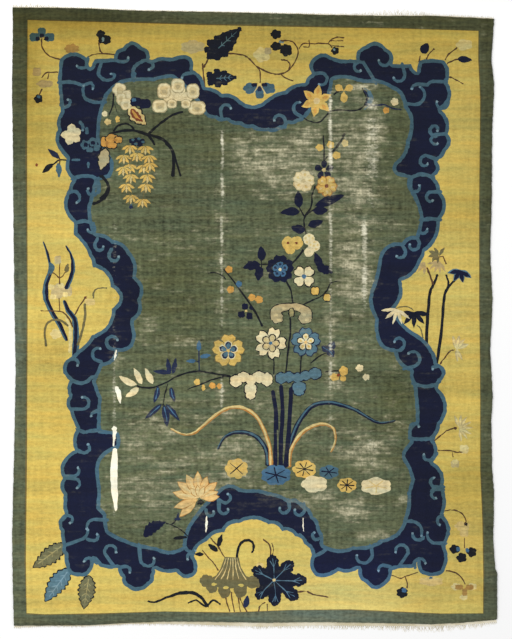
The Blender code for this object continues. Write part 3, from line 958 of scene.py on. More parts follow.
    def draw_bell(self, plan: Cartoon) -> None:
        """Draws the ribbed olive bloom with its scalloped brim.

        Args:
            plan: the drawing.
        """
        for x, y, half_x, half_y in self.BRIM:
            plan.lobe(Dye.OLIVE, x, y, half_x, half_y, 5, self.bell_scallop)
        plan.add(Dye.OLIVE, points_of(self.CUP))
        for start, stop in self.CUP_RIBS:
            plan.line(Dye.SAND, ((start, 558), ((start * 2 + stop) / 3, 569), (stop, 579)), 0.7)
        for x, y in ((214, 584), (226, 587.5), (241, 585)):
            plan.oval(Dye.GOLD, x, y, 2.8, 1.5)

    def draw_great_leaf(self, plan: Cartoon) -> None:
        """Draws the large navy leaf of many lobes with its forked blue veins.

        Args:
            plan: the drawing.
        """
        middle, tips = self.GREAT_MIDDLE, self.GREAT_TIPS
        plan.oval(Dye.INK, *middle, 15.4)
        plan.oval(Dye.INK, 283, 580, 15, 9.6)
        for tip in tips:
            turn = math.degrees(math.atan2(tip[1] - middle[1], tip[0] - middle[0]))
            reach = math.hypot(tip[0] - middle[0], tip[1] - middle[1])
            for inward, size, lobes in ((12.0, 6.4, 5), (8.4, 7.0, 6), (4.6, 4.8, 5)):
                x, y = around(*middle, reach - inward, turn)
                plan.lobe(Dye.INK, x, y, size, size, lobes, self.leaf_scallop)
        for index, tip in enumerate(tips):
            bent_x = middle[0] * 0.45 + tip[0] * 0.55 + (-1) ** index
            bent = (bent_x, middle[1] * 0.45 + tip[1] * 0.55 + 0.8)
            stop = (middle[0] * 0.15 + tip[0] * 0.85, middle[1] * 0.15 + tip[1] * 0.85)
            plan.line(Dye.TEAL, (middle, bent, stop), 0.8, 0.7, 0.5)
            turn = math.degrees(math.atan2(tip[1] - bent[1], tip[0] - bent[0]))
            for aside in (-24, 26):
                plan.line(Dye.TEAL, (bent, around(*bent, 7.2, turn + aside)), 0.6, 0.5)
        plan.oval(Dye.SAND, *middle, 1.6)


@dataclass(frozen=True)
class FlowerField:
    """The sprays on the green field: a branch with blossoms, hanging racemes and a tall plant."""

    scallop: float = 0.16
    bud_scallop: float = 0.18
    rim_scallop: float = 0.14
    deep_scallop: float = 0.2

    # Stems: first width, last width, points and any dye but umber
    STEMS = (
        (2.2, 3.6, ((110, 134), (122, 131), (135, 131), (148, 135), (160, 138), (168, 144), (173.5, 155),
            (173, 176))),
        (3, 1.6, ((166, 143), (173, 152), (177, 164), (180.5, 176))),
        (2.6, 1.8, ((149, 134), (156, 127), (164, 121), (173, 115), (183, 112))),
        (1.9, 1.9, ((114, 131), (118, 126), (124, 124), (130, 125), (135, 131))),
        (3, 2, ((148, 135), (152, 140), (154.5, 145))),
        (2.2, 3, ((100, 176), (105, 180), (109, 187), (107, 195), (101, 201), (93, 204))),
        (1.8, 1.2, ((113.5, 94), (113, 105), (109, 116))), (1, 0.8, ((115, 104), (117, 112))),
        (1.4, 1.4, ((106, 137), (102, 146), (100, 154))),
        (2.6, 4, ((102, 176), (108, 184), (107.5, 192), (101, 199))),
        (1.3, 1.6, ((304, 118), (310, 121.5), (319, 122.5), (325, 117), (329, 112))),
        (1.8, 1.2, ((329, 111.5), (340, 110), (352, 111), (360, 109), (365, 104), (366, 97), (362, 88))),
        (1.4, 1.2, ((364, 88.5), (369, 91.5), (372, 98), (369.5, 105), (364.5, 109.5)), Dye.TEAL),
        (4.6, 4.4, ((368.6, 92.6), (371, 98), (368.4, 105)), Dye.TEAL),
        (1.2, 1, ((364, 90), (367.6, 97), (365.4, 106)), Dye.INDIGO),
        (1.8, 1.8, ((334, 95), (337, 92), (341, 91))),
        (2.4, 1.2, ((366, 104), (374, 105.5), (384, 105), (392, 108.5), (401, 110)), Dye.INDIGO),
        (1.6, 1.8, ((323, 136), (324, 148), (324, 162))),
        (2.4, 1.6, ((344.5, 134), (339, 144), (334, 150), (324, 160))),
        (1.6, 1.8, ((315, 186), (312, 196), (311, 207), (305, 216), (304, 224), (306, 234))),
        (1.6, 1.2, ((305, 216), (310, 212), (316, 209))), (1.4, 1.4, ((304, 216), (299, 207))),
        (2, 1.8, ((303, 250), (298, 257), (291, 265))), (1.6, 1.4, ((254, 263), (262, 264.5), (270, 264))),
        (1.4, 1.4, ((261, 259), (261.5, 266), (259, 272))),
        (1.8, 1.4, ((286, 281), (291, 291), (293, 304))),
        (1.5, 1.2, ((303, 305), (313, 300), (321, 296.5), (327, 290), (331, 283), (340, 281))),
        (1.3, 1.2, ((318, 261), (323, 266), (326, 270))),
        (2, 1.8, ((290, 318), (290.5, 332), (288, 352), (286, 372))),
        (1.4, 2.2, ((224, 269), (237, 286), (250, 304), (258, 317), (262, 326))),
        (1.2, 1.2, ((208, 273), (217, 273), (226, 279))), (1.5, 1.4, ((311, 363), (318, 357), (326, 353))),
        (1.4, 1.4, ((302, 352), (301, 362), (300, 374))),
        (1.2, 1.2, ((272.5, 356), (274, 364), (273.5, 374))),
        (1.5, 1.5, ((199, 344), (199, 370)), Dye.INDIGO),
        (1.2, 1.2, ((199, 362), (193, 360.5), (187, 361)), Dye.INDIGO),
        (1.4, 2.2, ((137, 386), (150, 388), (165, 383), (178, 376), (194, 371.5), (206, 372), (218, 374),
            (230, 376.5))),
        (1.2, 1.6, ((188, 389), (202, 384), (214, 379), (227, 376))),
        (1.2, 1.2, ((168, 384), (165, 394), (163, 405))),
        (4, 4.8, ((273, 391), (276, 415), (276, 440), (275, 466)), Dye.NAVY),
        (4, 4.8, ((281, 386), (282.5, 410), (281, 440), (280.5, 466)), Dye.NAVY),
        (4, 5, ((291, 388), (290, 410), (288, 440), (286, 466)), Dye.NAVY),
        (1, 1, ((277.5, 430), (277.8, 464)), Dye.FIELD_GREEN),
        (1.2, 1.2, ((166, 523), (172, 524), (177, 518), (178, 514))),
        (1.2, 1.2, ((170, 524), (180, 529), (188, 536))),
        (1.4, 1, ((138, 144), (131, 160), (128.5, 180), (130, 200)), Dye.OLIVE),
        (1.4, 1, ((139, 144), (146, 160), (146, 180), (142, 204)), Dye.OLIVE),
        (1.2, 1.2, ((325, 372), (334, 371), (348, 370))),
    )
    # Grass blades: dye of the shadow, dye of the light, width, the light's share, points from root to tip
    BLADES = (
        (Dye.NAVY, Dye.BLUE, 4.8, 0.36, ((285, 466), (290, 444), (299, 422), (311, 407), (325, 402.5),
            (340, 404.5), (357.5, 411), (372, 420), (383, 423), (395, 420.5))),
        (Dye.NAVY, Dye.BLUE, 4.8, 0.36, ((268, 465), (266, 450), (258, 438), (246, 432.5), (233, 433),
            (224, 438), (218, 449))),
        (Dye.AMBER, Dye.SAND, 3.9, 0.54, ((271, 465), (270, 449), (264, 430), (256, 416), (243, 408),
            (229, 408), (216, 415), (202, 427), (192, 434), (182, 434), (171, 429))),
        (Dye.AMBER, Dye.SAND, 3.7, 0.54, ((289, 466), (291, 450), (300, 435), (311, 427), (323, 424),
            (333, 428), (335.5, 440), (331, 452))),
    )
    # Leaves: root x, y, tip x, y, width, dye, and for some bend, teeth and rim dye
    LEAVES = (
        (129.5, 107, 146, 124.5, 12, Dye.SAND, 1, 3, Dye.UMBER), (131, 109, 143, 122, 7, Dye.RUST, 1, 3),
        (132, 110, 141, 120, 3, Dye.ORANGE, 1, 0), (144, 536.5, 166, 522, 11, Dye.NAVY, -3, 5),
        (173, 538, 188, 537, 4, Dye.UMBER), (299, 208, 298, 191, 9, Dye.NAVY),
        (315, 206, 345, 195, 9.5, Dye.NAVY), (300, 212, 280, 213, 8.5, Dye.NAVY, 1, 0),
        (313, 211, 328, 210, 9, Dye.NAVY), (308, 226, 323, 221, 8, Dye.NAVY),
        (305, 231, 291, 227, 9, Dye.NAVY), (262, 261, 261, 246, 9, Dye.NAVY),
        (260, 265, 243, 268, 9, Dye.NAVY, 1, 2), (260, 266, 258, 281, 8.5, Dye.NAVY, 0, 2),
        (321, 268, 315, 253, 8, Dye.NAVY), (317, 266, 333, 273, 9, Dye.NAVY, 0, 2),
        (329, 351, 321, 346, 7, Dye.INDIGO), (329, 349, 335, 342, 8, Dye.INDIGO),
        (328, 349, 334, 357, 8, Dye.INDIGO), (137, 385, 119, 376, 6.6, Dye.CREAM, -1, 0),
        (142, 384, 134, 368, 6.2, Dye.CREAM), (153, 384, 145, 368, 6.2, Dye.CREAM),
        (139, 388, 126, 397, 6.4, Dye.CREAM), (106, 149, 101, 170, 9.5, Dye.TAUPE, 0, 3, Dye.UMBER),
        (172, 373, 153, 371, 4.5, Dye.INDIGO), (170, 374, 167, 358, 5, Dye.INDIGO),
        (173, 374, 176, 358, 5, Dye.INDIGO), (158, 386, 154, 403, 5.6, Dye.INDIGO, -1, 0),
        (171, 387, 175.5, 402, 5.6, Dye.INDIGO, 1, 0), (162, 404, 145, 419, 5.6, Dye.INDIGO),
        (163.5, 405, 167, 427, 7.5, Dye.INDIGO, -1, 0), (166, 404, 180, 421, 5.6, Dye.INDIGO),
        (199, 351, 199, 340, 4.6, Dye.BRIGHT_BLUE), (200, 357, 211, 355, 4.6, Dye.BRIGHT_BLUE),
        (196, 361, 186, 361, 4, Dye.BRIGHT_BLUE), (174, 519, 182, 519, 3, Dye.INDIGO),
        (178, 521, 178, 511, 2.4, Dye.INDIGO),
    )
    # Scalloped patches: x, y, half width, half height, lobes, dye, rim dye
    PATCHES = (
        (71.5, 134.5, 6.8, 6.4, 5, Dye.CREAM), (119.5, 90, 6.6, 6.6, 5, Dye.CREAM, Dye.TAUPE),
        (120, 91, 3.6, 4, 4, Dye.WHEAT), (126.5, 96, 4.6, 5.5, 4, Dye.CREAM, Dye.TAUPE),
        (121.5, 99, 4.6, 6, 4, Dye.CREAM, Dye.WHEAT), (121.5, 99, 2.2, 3, 4, Dye.WHEAT),
        (126, 104, 5.4, 5.6, 5, Dye.CREAM, Dye.WHEAT), (126, 105, 2.6, 2.6, 4, Dye.WHEAT),
        (136, 102, 6.4, 5, 4, Dye.NAVY), (145, 104, 7, 5.4, 4, Dye.NAVY),
        (134, 100, 2.6, 2, 4, Dye.BRIGHT_BLUE), (105, 142, 4.4, 5.6, 4, Dye.ORANGE, Dye.UMBER),
        (112, 139, 6.4, 5, 5, Dye.ORANGE, Dye.UMBER), (118.5, 140, 4, 3.4, 4, Dye.ORANGE, Dye.UMBER),
        (112, 145.5, 5.4, 3, 4, Dye.ORANGE, Dye.UMBER), (110, 141, 4.6, 4, 4, Dye.ORANGE),
        (115, 140.5, 2.4, 1.2, 4, Dye.AMBER), (107, 143, 1.6, 2.2, 4, Dye.AMBER),
        (104.5, 160, 5.4, 4.6, 5, Dye.TAUPE), (85, 145, 4.4, 5, 5, Dye.BLUE),
        (93, 142, 5, 4.6, 5, Dye.BLUE), (97, 148, 3.4, 3.6, 4, Dye.BLUE), (90, 150, 4, 2.8, 4, Dye.BLUE),
        (86, 145, 2.2, 2.6, 4, Dye.NAVY), (93, 143, 2.4, 2.2, 4, Dye.NAVY),
        (88.5, 165, 1.5, 3.4, 4, Dye.BLUE), (76, 160, 5, 1.3, 4, Dye.BLUE), (87, 131, 2, 4, 4, Dye.BLUE),
        (334.5, 377, 5, 4, 5, Dye.BRASS), (343.5, 371, 4.6, 5, 5, Dye.BRASS),
        (343, 378.5, 3.4, 2.8, 4, Dye.BRASS), (338.5, 375, 2, 1.6, 4, Dye.RUST),
        (245, 306.5, 3.6, 3.6, 4, Dye.NAVY), (241.5, 314.5, 4, 3.6, 4, Dye.NAVY),
        (249.5, 316, 3.6, 3.8, 4, Dye.NAVY), (251, 308, 2, 2, 4, Dye.NAVY),
        (246, 311, 1.4, 1.2, 4, Dye.SAND), (291.5, 312, 2.6, 4.4, 4, Dye.SAGE, Dye.UMBER),
    )
    # Patches that grow together in one rim: dye, rim dye, then x, y, half width, half height
    CLUSTERS = (
        (Dye.CREAM, Dye.UMBER, ((243.5, 377, 6.4, 5.2), (236, 381, 6.2, 6), (259, 377, 6.8, 5.8),
            (267, 379.5, 5.8, 6.8), (251, 380, 5, 5), (250.5, 389, 6.2, 6.4), (250.5, 395, 5, 4.4))),
        (Dye.TEAL, Dye.NAVY, ((289, 377, 5.4, 5.4), (281, 378, 5.6, 5.6), (305.5, 375.5, 5.4, 4.6),
            (315, 373.5, 6.4, 5.6), (297.5, 377.5, 6, 4.6), (299, 387, 7, 5.6), (299, 391.5, 5.4, 4))),
    )
    # Round flowers: x, y, reach, petals, petal width, first direction, sharpness, cleft, then the
    # dyes of the petals, their marks, the heart and the rim
    BLOOMS = (
        (316.5, 101, 16.5, 6, 8, -82, 1, 0, Dye.BRASS, Dye.ORANGE, Dye.HONEY),
        (324, 170, 10, 5, 6.2, -90, 0, 0, Dye.NAVY, None, Dye.SAND),
        (303.5, 181, 10.4, 5, 5.8, -76, 0.1, 15, Dye.CREAM, Dye.SAND, Dye.WHEAT, Dye.WHEAT),
        (326.5, 186, 10, 5, 5.4, -60, 0.1, 14, Dye.BRASS, Dye.HONEY, Dye.RUST, Dye.AMBER),
        (288, 243, 6.6, 5, 7.5, -90, 0, 0, Dye.BRASS, None, Dye.RUST),
        (296.5, 243, 6.8, 5, 7.5, -60, 0, 0, Dye.BRASS, None, Dye.RUST),
        (290, 249, 5.4, 4, 6.5, 45, 0, 0, Dye.BRASS), (309, 239.5, 6, 5, 7, -90, 0, 0, Dye.CREAM, Dye.SAND),
        (314, 246, 6, 5, 7, -90, 0, 0, Dye.CREAM, Dye.SAND, Dye.SAND),
        (309, 252, 5, 5, 6, -90, 0, 0, Dye.CREAM), (280, 269, 14.5, 5, 8.5, -90, 0, 15, Dye.NAVY),
        (280, 269.5, 8, 5, 7, -90, 0, 0, Dye.BRIGHT_BLUE, Dye.INDIGO, Dye.CREAM, Dye.UMBER),
        (304, 276.5, 11.5, 4, 6.2, 45, 0, 13, Dye.CREAM, None, Dye.BRIGHT_BLUE, Dye.UMBER),
        (270.6, 343.2, 16, 5, 7, -72, 0, 12, Dye.CREAM, None, None, Dye.UMBER),
        (270.6, 343.2, 8.8, 5, 5.6, -72, 0, 0, Dye.WHEAT, Dye.SAND, Dye.BRIGHT_BLUE, Dye.UMBER),
        (305.6, 342.2, 14.6, 5, 7.4, -90, 0, 13, Dye.TEAL, None, None, Dye.INDIGO),
        (305.6, 342.2, 8.4, 5, 5.4, -90, 0, 0, Dye.CREAM, Dye.BRASS, Dye.PEACH, Dye.UMBER),
        (228.3, 350.6, 16.4, 5, 8.8, -90, 0, 14, Dye.BRASS, None, None, Dye.OLIVE),
        (228.3, 350.6, 9.2, 5, 6, -90, 0, 0, Dye.INDIGO, None, None, Dye.CREAM),
        (228.3, 350.6, 7.4, 5, 4.2, -90, 0, 0, Dye.TEAL, None, Dye.BRASS),
    )
    # Fans of petals: x, y, reach, petal width, sharpness, first and last direction, petals, dye, rim dye
    FANS = (
        (199, 498, 26.5, 8.4, 0.6, -168, -93, 4, Dye.PEACH, Dye.AMBER),
        (200, 498, 23, 7.6, 0.6, -72, -44, 2, Dye.PEACH, Dye.AMBER),
        (200, 498, 19, 7.2, 0.6, -20, -4, 2, Dye.PEACH, Dye.AMBER),
        (198, 499, 25, 7.4, 0.6, 136, 160, 2, Dye.PEACH, Dye.AMBER),
        (199, 498, 22, 2.6, 0.6, -168, -93, 4, Dye.HONEY), (200, 498, 18, 2.2, 0.6, -72, -20, 3, Dye.HONEY),
        (199, 498, 13, 4.6, 0.7, -130, -66, 3, Dye.HONEY, Dye.AMBER),
        (200, 499, 6, 3.2, 0.4, 50, 110, 3, Dye.UMBER), (344, 91, 10, 7, 0.2, -150, -30, 2, Dye.BRASS),
        (344, 91, 12, 7, 0.3, 88, 92, 2, Dye.BRASS), (71.5, 134, 10.5, 8.4, 0.5, -88, -20, 2, Dye.CREAM),
        (71.5, 135, 10.5, 8.4, 0.5, 36, 180, 3, Dye.CREAM),
        (178, 101, 15, 4.6, 0.2, -170, -10, 7, Dye.CREAM, Dye.WHEAT),
    )
    # Egg-shaped petals of the pale blossom with a shaded middle: x, y, half width, half height, turn
    EGGS = (
        (164, 91, 6.6, 7.8, -30), (178, 86, 6.6, 7.4, 0), (193, 91.5, 6.4, 7.4, 35),
        (197, 108, 8.6, 6.8, 10), (160, 106.5, 7.6, 6.4, -8), (172, 104, 4.6, 4.2, 0),
        (186, 104, 4.6, 4.2, 0),
    )
    # Small round buds: x, y, half width, half height, dye
    BUDS = (
        (105, 114, 3, 3, Dye.CREAM), (108, 122, 3.6, 3.2, Dye.SAND), (117.5, 119.5, 2.3, 3.6, Dye.BRASS),
        (319.5, 147.5, 4, 3.8, Dye.BRASS), (330.5, 145, 4, 3.8, Dye.BRASS),
        (345, 143.5, 3.6, 3.8, Dye.SAND), (336.5, 155.5, 4.4, 4, Dye.BRASS),
        (229, 269.5, 3.8, 3.8, Dye.ORANGE), (230.5, 289.5, 3.8, 3.8, Dye.ORANGE),
        (252, 297.5, 3.8, 3.8, Dye.ORANGE), (259, 299.5, 4, 4, Dye.ORANGE),
        (239, 284, 3.2, 3.4, Dye.BRIGHT_BLUE), (197, 382, 3.2, 3.4, Dye.BRASS),
        (203.4, 387.6, 2, 3.2, Dye.BRASS), (212.5, 385.5, 3.4, 3.4, Dye.ORANGE),
        (219.5, 386, 3, 3, Dye.ORANGE), (359.5, 368, 4, 3.8, Dye.CREAM), (366, 377, 3.6, 3.4, Dye.CREAM),
        (394.5, 102, 4, 4.2, Dye.CREAM), (386, 110.5, 3.4, 3.4, Dye.ORANGE), (131, 207, 2, 2, Dye.INDIGO),
        (131, 204.5, 1.2, 1.4, Dye.BLUE),
    )
    # Buds with a dark rim: x, y, radius, dye
    RIMMED_BUDS = (
        (315, 291, 4.2, Dye.BRASS), (327, 297.5, 3.8, Dye.BRASS),
    )
    # Rosettes at the plant's foot: x, y, half width, half height, lobes, first ray, rays, dye, ray dye
    ROSETTES = (
        (276, 475, 15.5, 10.5, 8, 20, 6, Dye.BRIGHT_BLUE, Dye.NAVY),
        (304.5, 469, 12.2, 9.4, 7, 12, 8, Dye.BRASS, Dye.UMBER),
        (329, 472, 10.4, 7, 6, 10, 6, Dye.BLUE, Dye.NAVY),
        (314.5, 484, 13.6, 8.8, 5, 90, 0, Dye.CREAM, Dye.SAND),
        (347, 485, 10, 7.6, 7, 5, 8, Dye.BRASS, Dye.UMBER),
        (376, 486, 16, 9, 6, 90, 5, Dye.CREAM, Dye.SAND),
        (236.5, 468.5, 12, 10.4, 7, 45, 4, Dye.BRASS, Dye.UMBER),
    )
    # Hanging florets: x, y of each sprig's top
    FLORETS = (
        (130, 145.5), (145.5, 146), (124, 155), (137, 153), (149, 155.5), (130, 164.5), (144, 165),
        (150, 163), (123.5, 167), (131, 174.5), (147.5, 174.5), (126.5, 184), (146, 184), (131, 195),
        (142.5, 199),
    )

    def draw(self, plan: Cartoon) -> None:
        """Lays the blades and stems first, then leaves, flowers and buds.

        Args:
            plan: the drawing.
        """
        for shadow, light, width, share, points in self.BLADES:
            plan.line(shadow, points, width, width, width * 0.9, width * 0.75, width * 0.4)
            lifted = [(x - 0.4, y - 0.7) for x, y in points]
            plan.line(light, lifted, *(width * share * taper for taper in (1.0, 1.0, 1.0, 0.8, 0.4)))
        for first, last, points, *dye in self.STEMS:
            plan.line(dye[0] if dye else Dye.UMBER, points, first, last)
        for x0, y0, x1, y1, width, dye, *more in self.LEAVES:
            light = Dye.BRIGHT_BLUE if dye is Dye.INDIGO and width > 5 else None
            plan.leaf(dye, (x0, y0), (x1, y1), width, *more, vein=light)
        for x, y, reach, width, point, first, last, count, dye, *rim in self.FANS:
            turns = [first + (last - first) * i / (count - 1) for i in range(count)]
            plan.fan(dye, x, y, reach, turns, width, point, *rim)
        for x, y, half_x, half_y, lobes, dye, *rim in self.PATCHES:
            plan.lobe(dye, x, y, half_x, half_y, lobes, self.scallop, *rim)
        for dye, rim, rows in self.CLUSTERS:
            plan.cluster(dye, rim, rows, 6, 0.1)
        for x, y, half_x, half_y, turn in self.EGGS:
            plan.lobe(Dye.CREAM, x, y, half_x, half_y, 4, self.rim_scallop, Dye.TAUPE)
            plan.lobe(Dye.WHEAT, x, y, half_x * 0.66, half_y * 0.66, 4, self.deep_scallop)
            plan.oval(Dye.TAUPE, x, y + 0.8, half_x * 0.34, half_y * 0.3, turn)
        for row in self.BLOOMS:
            plan.bloom(*row)
        for x, y, half_x, half_y, dye in self.BUDS:
            plan.lobe(dye, x, y, half_x, half_y, 5, self.bud_scallop)
        for x, y, radius, dye in self.RIMMED_BUDS:
            plan.lobe(dye, x, y, radius, radius, 4, self.rim_scallop, Dye.UMBER)
        self.draw_arch(plan)
        self.draw_rosettes(plan)
        self.draw_racemes(plan)

    def draw_arch(self, plan: Cartoon) -> None:
        """Draws the drooping taupe flower at the top of the middle stem.

        Args:
            plan: the drawing.
        """
        line = ((277, 317), (275.5, 311.5), (281, 308), (291, 306.5), (300, 308), (306, 312), (306, 318))
        for dye, grow in ((Dye.UMBER, 1.6), (Dye.TAUPE, 0.0)):
            plan.line(dye, line, 11 + grow, 8 + grow, 5.6 + grow, 8 + grow, 11.6 + grow)
            plan.lobe(dye, 277, 317.5, 6.2 + grow / 2, 6 + grow / 2, 5, self.scallop)
            plan.lobe(dye, 305, 318, 6.8 + grow / 2, 6 + grow / 2, 5, self.scallop)
        for x, y in ((276, 315), (279, 320), (304, 315), (307, 320), (284, 308.5), (298, 309)):
            plan.lobe(Dye.WHEAT, x, y, 2.2, 1.6, 4, self.deep_scallop)
        plan.lobe(Dye.SAGE, 291.5, 312.5, 2.4, 4.4, 4, self.rim_scallop, Dye.UMBER)

    def draw_rosettes(self, plan: Cartoon) -> None:
        """Draws the scalloped rosettes at the foot of the plant.

        Args:
            plan: the drawing.
        """
        for x, y, half_x, half_y, lobes, first, rays, dye, ray in self.ROSETTES:
            plan.lobe(dye, x, y, half_x, half_y, lobes)
            for i in range(rays):
                turn = math.radians(first + 360.0 * i / rays)
                tip = (x + half_x * 0.72 * math.cos(turn), y + half_y * 0.72 * math.sin(turn))
                plan.line(ray, ((x, y), tip), 1.1)

    def draw_racemes(self, plan: Cartoon) -> None:
        """Draws the two hanging racemes of gold florets under blue sepals.

        Args:
            plan: the drawing.
        """
        for x, y in ((132, 141), (137, 140), (142, 141.5), (134, 144), (140, 144.5)):
            plan.lobe(Dye.NAVY, x, y, 3.2, 2.8, 4, self.deep_scallop)
        for x, y in ((133, 140), (139, 139), (143, 142), (136, 144)):
            plan.oval(Dye.BLUE, x, y, 1.8, 1.3)
        for x, y in self.FLORETS:
            plan.fan(Dye.BRASS, x, y, 9.2, (28, 152), 2.7, 0.8, Dye.OLIVE)
            plan.fan(Dye.BRASS, x, y + 0.6, 9.4, (58, 122), 2.7, 0.8, Dye.OLIVE)
            plan.fan(Dye.SAND, x, y + 1.0, 8.2, (90, 90), 2.2, 0.8, Dye.OLIVE)


@dataclass(frozen=True)
class OldTears:
    """Where the pile is gone: the slits along the left fold and the small holes."""

    # Slits: widths from end to end, points
    SLITS = (
        ((5.5, 6.5, 2.5), ((114.5, 428), (115, 432))),
        ((4, 2.5, 1.2), ((115, 431), (114, 438), (113.5, 446))),
        ((4, 7, 7, 6, 2), ((115, 449), (114.5, 462), (114, 480), (115, 495), (116, 510))),
        ((3.4, 5.2, 4.4, 1.2), ((116.5, 387), (118.5, 393), (120.5, 403))),
        ((0.8, 2.4, 0.8), ((116.5, 350), (115.5, 355), (114.5, 360))),
        ((0.8, 2.2, 0.8), ((206.5, 516), (206.5, 524), (206, 532))),
        ((0.5, 1.1, 0.5), ((303, 518), (303, 525), (303.5, 531))),
    )

    def draw(self, plan: Cartoon) -> None:
        """Lays the bare foundation over everything else."""
        for widths, points in self.SLITS:
            plan.line(Dye.BONE, points, *widths)


class Socket:
    """A shader value that can be used in Python sums."""

    def __init__(self, finish: Finish, socket: bpy.types.NodeSocket) -> None:
        """Wraps one output of a finish's node tree."""
        self.finish, self.socket = finish, socket

    def _with(self, operation: str, *others: Number, swap: bool = False) -> Socket:
        """Adds one Math node on this value and the others.

        Args:
            operation: the node's operation.
            others: its further values.
            swap: whether the values come in the other order.

        Returns:
            The node's value.
        """
        values = [self, *others]
        if swap:
            values.reverse()
        return self.finish.node("ShaderNodeMath", {"operation": operation}, dict(enumerate(values)))

    def __add__(self, other: Number) -> Socket:
        """Sum."""
        return self._with("ADD", other)

    __radd__ = __add__

    def __sub__(self, other: Number) -> Socket:
        """Difference."""
        return self._with("SUBTRACT", other)

    def __rsub__(self, other: Number) -> Socket:
        """Difference the other way round."""
        return self._with("SUBTRACT", other, swap=True)

    def __mul__(self, other: Number) -> Socket:
        """Product."""
        return self._with("MULTIPLY", other)

    __rmul__ = __mul__

    def output(self, name: str) -> Socket:
        """Another output of the same node."""
        return Socket(self.finish, self.socket.node.outputs[name])

    def absolute(self) -> Socket:
        """Without its sign."""
        return self._with("ABSOLUTE")

    def larger(self, other: Number) -> Socket:
        """The larger of two values."""
        return self._with("MAXIMUM", other)

    def smaller(self, other: Number) -> Socket:
        """The smaller of two values."""
        return self._with("MINIMUM", other)

    def between(self, low: float, high: float) -> Socket:
        """A smooth step from 0 at low to 1 at high."""
        inputs = {"Value": self, "From Min": low, "From Max": high}
        return self.finish.node("ShaderNodeMapRange", {"interpolation_type": "SMOOTHSTEP"}, inputs)


# What a Math node and what any socket takes
Number = Socket | float
Value = Socket | float | Sequence[float]


@dataclass
class Finish:
    """A procedural material and the helpers that fill its node tree."""

    name: str
    material: bpy.types.Material = field(init=False)
    shader: bpy.types.Node = field(init=False)

    def __post_init__(self) -> None:
        """Makes the empty material with its Principled shader."""
        self.material = bpy.data.materials.new(self.name)
        self.material.use_nodes = True
        self.shader = self.material.node_tree.nodes["Principled BSDF"]

    def node(
        self, kind: str, settings: dict | None = None, inputs: dict | None = None, output: int | str = 0,
    ) -> Socket:
        """Adds any node.

        Args:
            kind: the node's type.
            settings: its properties, with a ramp's stops under "stops".
            inputs: values or links of its sockets.
            output: which output to return.

        Returns:
            The chosen output.
        """
        made = self.material.node_tree.nodes.new(kind)
        for key, value in (settings or {}).items():
            if key == "stops":
                self.set_stops(made.color_ramp, value)
            else:
                setattr(made, key, value)
        for key, value in (inputs or {}).items():
            self.feed(made.inputs[key], value)
        return Socket(self, made.outputs[output])

    def feed(self, target: bpy.types.NodeSocket, value: Value) -> None:
        """Links a value to a socket, or sets it there.

        Args:
            target: the socket.
            value: another node's value, a number or a colour.
        """
        if isinstance(value, Socket):
            self.material.node_tree.links.new(value.socket, target)
        else:
            target.default_value = value

    @staticmethod
    def set_stops(ramp: bpy.types.ColorRamp, stops: Sequence[tuple[float, float]]) -> None:
        """Gives a ramp its stops.

        Args:
            ramp: the ramp of a node.
            stops: each one's place and brightness.
        """
        while len(ramp.elements) < len(stops):
            ramp.elements.new(1.0)
        for element, (place, value) in zip(ramp.elements, stops):
            element.position = place
            element.color = (value, value, value, 1.0)

    def mix(self, share: Number, first: Value, second: Value, blend: str = "MIX") -> Socket:
        """Mixes two colours."""
        settings = {"data_type": "RGBA", "blend_type": blend}
        return self.node("ShaderNodeMix", settings, {0: share, 6: first, 7: second}, 2)

    def noise(
        self, scale: Sequence[float], detail: float = 2.0, roughness: float = 0.5, move: float = 0.0,
    ) -> Socket:
        """Cloudy noise on the piece's own coordinates.

        Args:
            scale: clouds in a metre along each axis.
            detail: finer layers over the first.
            roughness: strength of each finer layer.
            move: how far the pattern is shifted, so that no two are alike.

        Returns:
            The noise, from 0 to 1 about 0.5.
        """
        place = self.node("ShaderNodeTexCoord", output="Object")
        stretch = {"Vector": place, "Scale": scale, "Location": (move, move * 0.7, 0.0)}
        stretched = self.node("ShaderNodeMapping", inputs=stretch)
        clouds = {"Vector": stretched, "Scale": 1.0, "Detail": detail, "Roughness": roughness}
        return self.node("ShaderNodeTexNoise", inputs=clouds)

    def bump(self, height: Socket, strength: float, distance: float) -> None:
        """Feeds a height to the shader's normal."""
        inputs = {"Height": height, "Strength": strength, "Distance": distance}
        self.feed(self.shader.inputs["Normal"], self.node("ShaderNodeBump", inputs=inputs))

    def set(self, **values: Value) -> None:
        """Sets or links the shader's sockets, named with underscores for spaces."""
        for key, value in values.items():
            self.feed(self.shader.inputs[key.replace("_", " ")], value)


